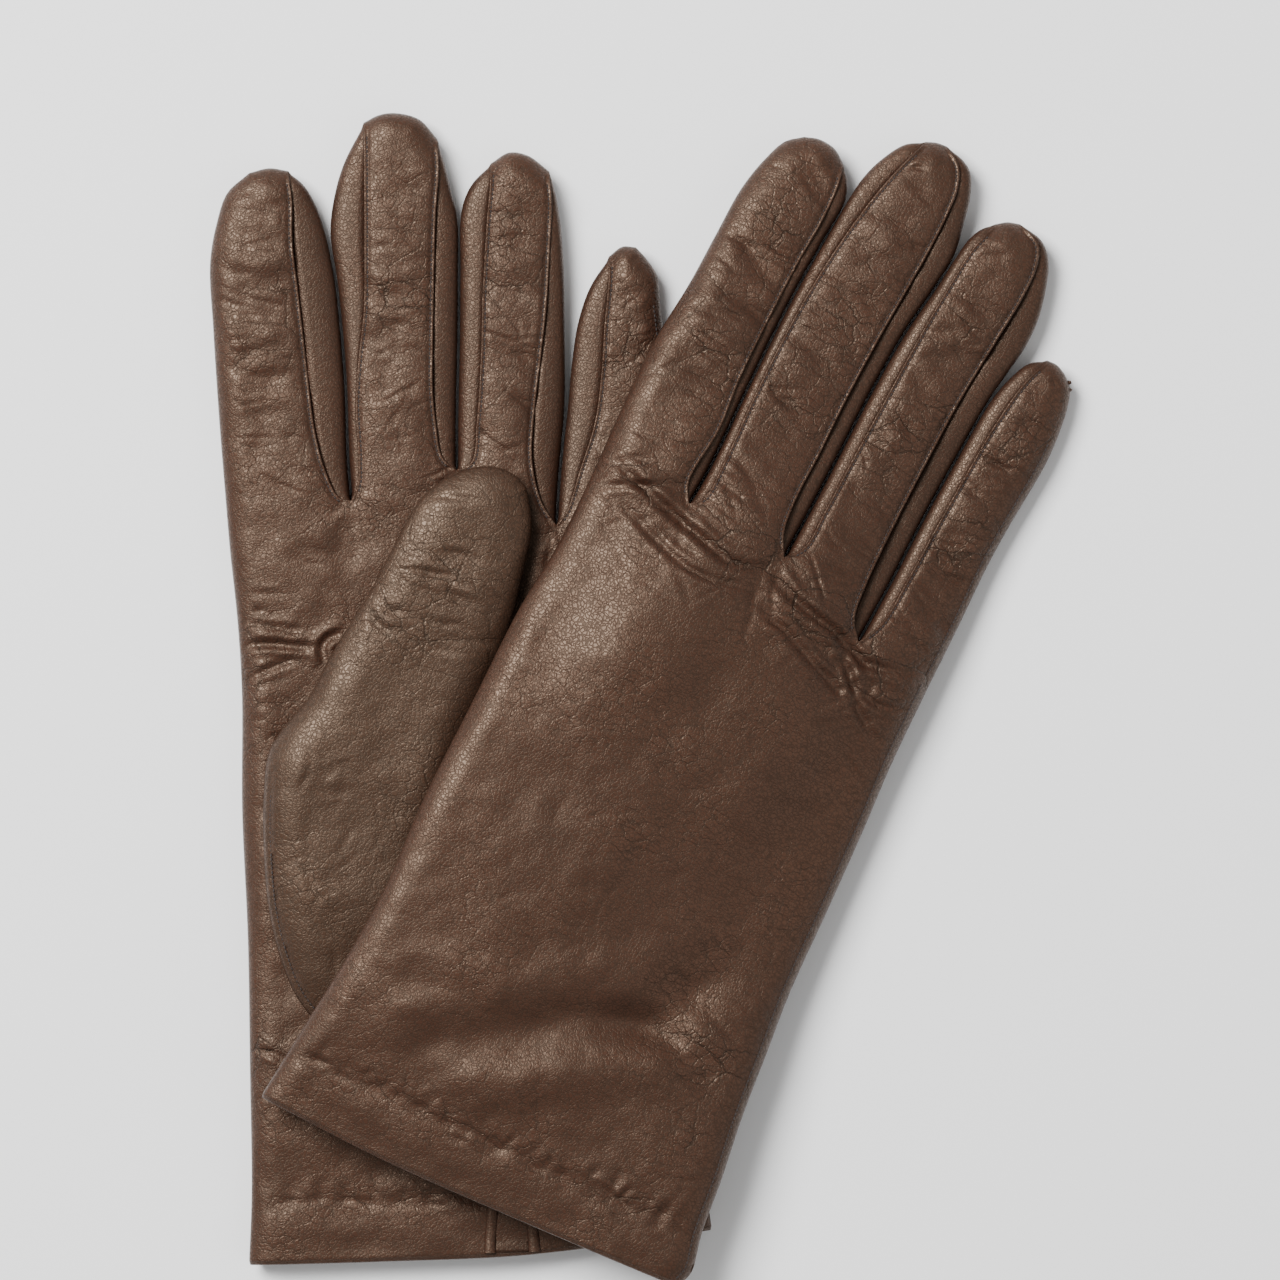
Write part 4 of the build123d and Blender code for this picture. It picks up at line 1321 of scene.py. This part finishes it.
class GloveLook(bpy.types.PropertyGroup):
    """Colours and gloss."""
    leather_dark: FloatVectorProperty(name="Leather dark", description="Darkest leather", subtype="COLOR",
                                      default=(0.029, 0.0112, 0.0066))
    leather_light: FloatVectorProperty(name="Leather light", description="Lightest leather", subtype="COLOR",
                                       default=(0.046, 0.0188, 0.0112))
    thumb_dark: FloatVectorProperty(name="Thumb dark", description="Darkest leather of the thumbs",
                                    subtype="COLOR", default=(0.029, 0.0135, 0.0080))
    thumb_light: FloatVectorProperty(name="Thumb light", description="Lightest leather of the thumbs",
                                     subtype="COLOR", default=(0.043, 0.0212, 0.0128))
    thread_colour: FloatVectorProperty(name="Thread", description="Sewing thread", subtype="COLOR",
                                       default=(0.022, 0.011, 0.008))
    lining_colour: FloatVectorProperty(name="Lining", description="Knitted lining", subtype="COLOR",
                                       default=(0.11, 0.06, 0.038))
    gloss: FloatProperty(name="Gloss", description="Roughness of the leather's finish", default=0.38,
                         min=0.0, max=1.0, subtype="FACTOR")


class GloveStage(bpy.types.PropertyGroup):
    """Floor, lights and camera."""
    camera_height: FloatProperty(name="Camera height", description="Height of the camera above the floor",
                                 default=2.0, unit="LENGTH")
    view_width: FloatProperty(name="View width", description="Width of the floor that the camera sees",
                              default=0.2752, unit="LENGTH")
    floor_colour: FloatVectorProperty(name="Floor", description="Colour of the floor", subtype="COLOR",
                                      default=(0.93, 0.93, 0.93))
    key_power: FloatProperty(name="Key light", description="Power of the large soft light", default=62.0,
                             unit="POWER")
    fill_power: FloatProperty(name="Fill light", description="Power of the light across from it", default=4.0,
                              unit="POWER")
    sky: FloatProperty(name="Sky", description="Strength of the even light from all round", default=0.42)


# ---- finishes ----
def make_finish(slot):
    """The material of a slot."""
    look = bpy.context.scene.glove_look
    dark, light, thumb_dark, thumb_light, thread, lining = (tuple(colour) for colour in (
        look.leather_dark, look.leather_light, look.thumb_dark, look.thumb_light, look.thread_colour,
        look.lining_colour))
    deep = tuple(0.8 * c for c in dark)
    leathers = {"leather": (dark, light, 1.0), "fourchette_leather": (deep, light, 0.95),
                "thumb_leather": (thumb_dark, thumb_light, 1.05), "vent_leather": (deep, dark, 0.9),
                "binding": (dark, light, 0.8)}
    textiles = {
        "lining": (lining, (("X", 0.55, 0.6, 1.0), ("Y", 0.7, 0.8, 2.0)), 0.8, 0.2 * MM, 0.85, 0.3),
        "thread": (thread, (("DIAGONAL", 2.2, 0.3, 2.0),), 0.6, 0.05 * MM, 0.6, 0.0),
    }
    if slot in leathers:
        return leather_material(f"glove_{slot}", *leathers[slot])
    return textile_material(f"glove_{slot}", *textiles[slot])


MADE = {}


def finish(slot):
    """The material of a slot, made once."""
    if slot not in MADE:
        MADE[slot] = make_finish(slot)
    return MADE[slot]


def gloves():
    """Both gloves' shapes, worked out once."""
    if "gloves" not in MADE:
        MADE["gloves"] = [Glove("left"), Glove("right")]
        for glove in MADE["gloves"]:
            crease_glove(glove)
    return MADE["gloves"]


# ---- operators ----
class GLOVES_OT_hands(bpy.types.Operator):
    """Builds the hand of each glove, its cuff and its outer seam"""
    bl_idname = "gloves.hands"
    bl_label = "Hands"

    def execute(self, context):
        for glove in gloves():
            build_hand(glove)
            outseam_stitches(glove)
        return {"FINISHED"}


class GLOVES_OT_fingers(bpy.types.Operator):
    """Builds the fingers: their leaves, their side walls and their seams"""
    bl_idname = "gloves.fingers"
    bl_label = "Fingers"

    def execute(self, context):
        for glove in gloves():
            for finger in FINGERS:
                build_stall(glove, finger)
                for wall in ("left", "right"):
                    if f"{wall}_seam" in glove.outline[finger]:
                        build_fourchette(glove, finger, wall)
                finger_stitches(glove, finger)
        return {"FINISHED"}


class GLOVES_OT_thumbs(bpy.types.Operator):
    """Builds both thumbs and the seams that hold them"""
    bl_idname = "gloves.thumbs"
    bl_label = "Thumbs"

    def execute(self, context):
        for glove in gloves():
            build_thumb(glove)
            thumb_stitches(glove)
        return {"FINISHED"}


class GLOVES_OT_linings(bpy.types.Operator):
    """Builds the knitted linings inside the leather"""
    bl_idname = "gloves.linings"
    bl_label = "Linings"

    def execute(self, context):
        for glove in gloves():
            build_lining(glove)
            build_thumb_lining(glove)
            for finger in FINGERS:
                build_finger_lining(glove, finger)
        return {"FINISHED"}


class GLOVES_OT_vents(bpy.types.Operator):
    """Builds the vent in each cuff"""
    bl_idname = "gloves.vents"
    bl_label = "Vents"

    def execute(self, context):
        for glove in gloves():
            build_vent(glove)
        return {"FINISHED"}


def soft_light(name, at, target, size, power):
    """A square soft light that faces the target."""
    lamp = bpy.data.lights.new(name, "AREA")
    lamp.shape, lamp.size, lamp.energy = "SQUARE", size, power
    light = bpy.data.objects.new(name, lamp)
    light.location = at
    light.rotation_euler = (Vector(target) - Vector(at)).to_track_quat("-Z", "Y").to_euler()
    bpy.context.scene.collection.objects.link(light)
    return light


class GLOVES_OT_stage(bpy.types.Operator):
    """Lays the pale floor, hangs the soft lights and sets the camera straight above"""
    bl_idname = "gloves.stage"
    bl_label = "Floor, lights and camera"

    def execute(self, context):
        scene, stage = context.scene, context.scene.glove_stage
        low, high = CAD_BOX
        centre = (Vector(low) + Vector(high)) / 2
        material, tree, shader = node_tree("floor")
        shader.inputs["Base Color"].default_value = (*stage.floor_colour, 1)
        shader.inputs["Roughness"].default_value = 0.9
        mesh = bpy.data.meshes.new("floor")
        corners = ((-3, -3), (3, -3), (3, 3), (-3, 3))
        mesh.from_pydata([(x, y, low[2]) for x, y in corners], [], [(0, 1, 2, 3)])
        mesh.materials.append(material)
        floor = bpy.data.objects.new("floor", mesh)
        scene.collection.objects.link(floor)
        for name, (x, y, height), size, power in (("key", (-0.75, 0.65, 1.35), 0.8, stage.key_power),
                                                  ("fill", (1.1, -0.4, 1.0), 1.2, stage.fill_power)):
            soft_light(name, (centre.x + x, centre.y + y, height), centre, size, power)
        scene.world = bpy.data.worlds.new("world")
        scene.world.use_nodes = True
        background = scene.world.node_tree.nodes["Background"]
        background.inputs["Color"].default_value = (1, 1, 1, 1)
        background.inputs["Strength"].default_value = stage.sky
        lens = bpy.data.cameras.new("camera")
        lens.lens = lens.sensor_width * stage.camera_height / stage.view_width
        camera = bpy.data.objects.new("camera", lens)
        camera.location = (centre.x - 0.0011, centre.y + 0.0123, low[2] + stage.camera_height)
        scene.collection.objects.link(camera)
        scene.camera = camera
        return {"FINISHED"}


class GLOVES_PT_panel(bpy.types.Panel):
    """Lists the steps that build the gloves"""
    bl_label = "Leather Gloves"
    bl_idname = "GLOVES_PT_panel"
    bl_space_type = "VIEW_3D"
    bl_region_type = "UI"
    bl_category = "Gloves"

    def draw(self, context):
        column = self.layout.column()
        for step in STEPS:
            column.operator(step.bl_idname)
        for group in (context.scene.glove_shape, context.scene.glove_look, context.scene.glove_stage):
            box = self.layout.box()
            for name in type(group).__annotations__:
                box.prop(group, name)


STEPS = (GLOVES_OT_hands, GLOVES_OT_fingers, GLOVES_OT_thumbs, GLOVES_OT_linings, GLOVES_OT_vents,
         GLOVES_OT_stage)
GROUPS = {"glove_shape": GloveShape, "glove_look": GloveLook, "glove_stage": GloveStage}


def register():
    for made in (*GROUPS.values(), *STEPS, GLOVES_PT_panel):
        bpy.utils.register_class(made)
    for name, group in GROUPS.items():
        setattr(bpy.types.Scene, name, PointerProperty(type=group))


def unregister():
    for name in GROUPS:
        delattr(bpy.types.Scene, name)
    for made in reversed((*GROUPS.values(), *STEPS, GLOVES_PT_panel)):
        bpy.utils.unregister_class(made)


def main():
    """Registers the add-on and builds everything."""
    register()
    for step in STEPS:
        group, name = step.bl_idname.split(".")
        getattr(getattr(bpy.ops, group), name)()
    bpy.context.view_layer.update()


if __name__ == "__main__":
    main()
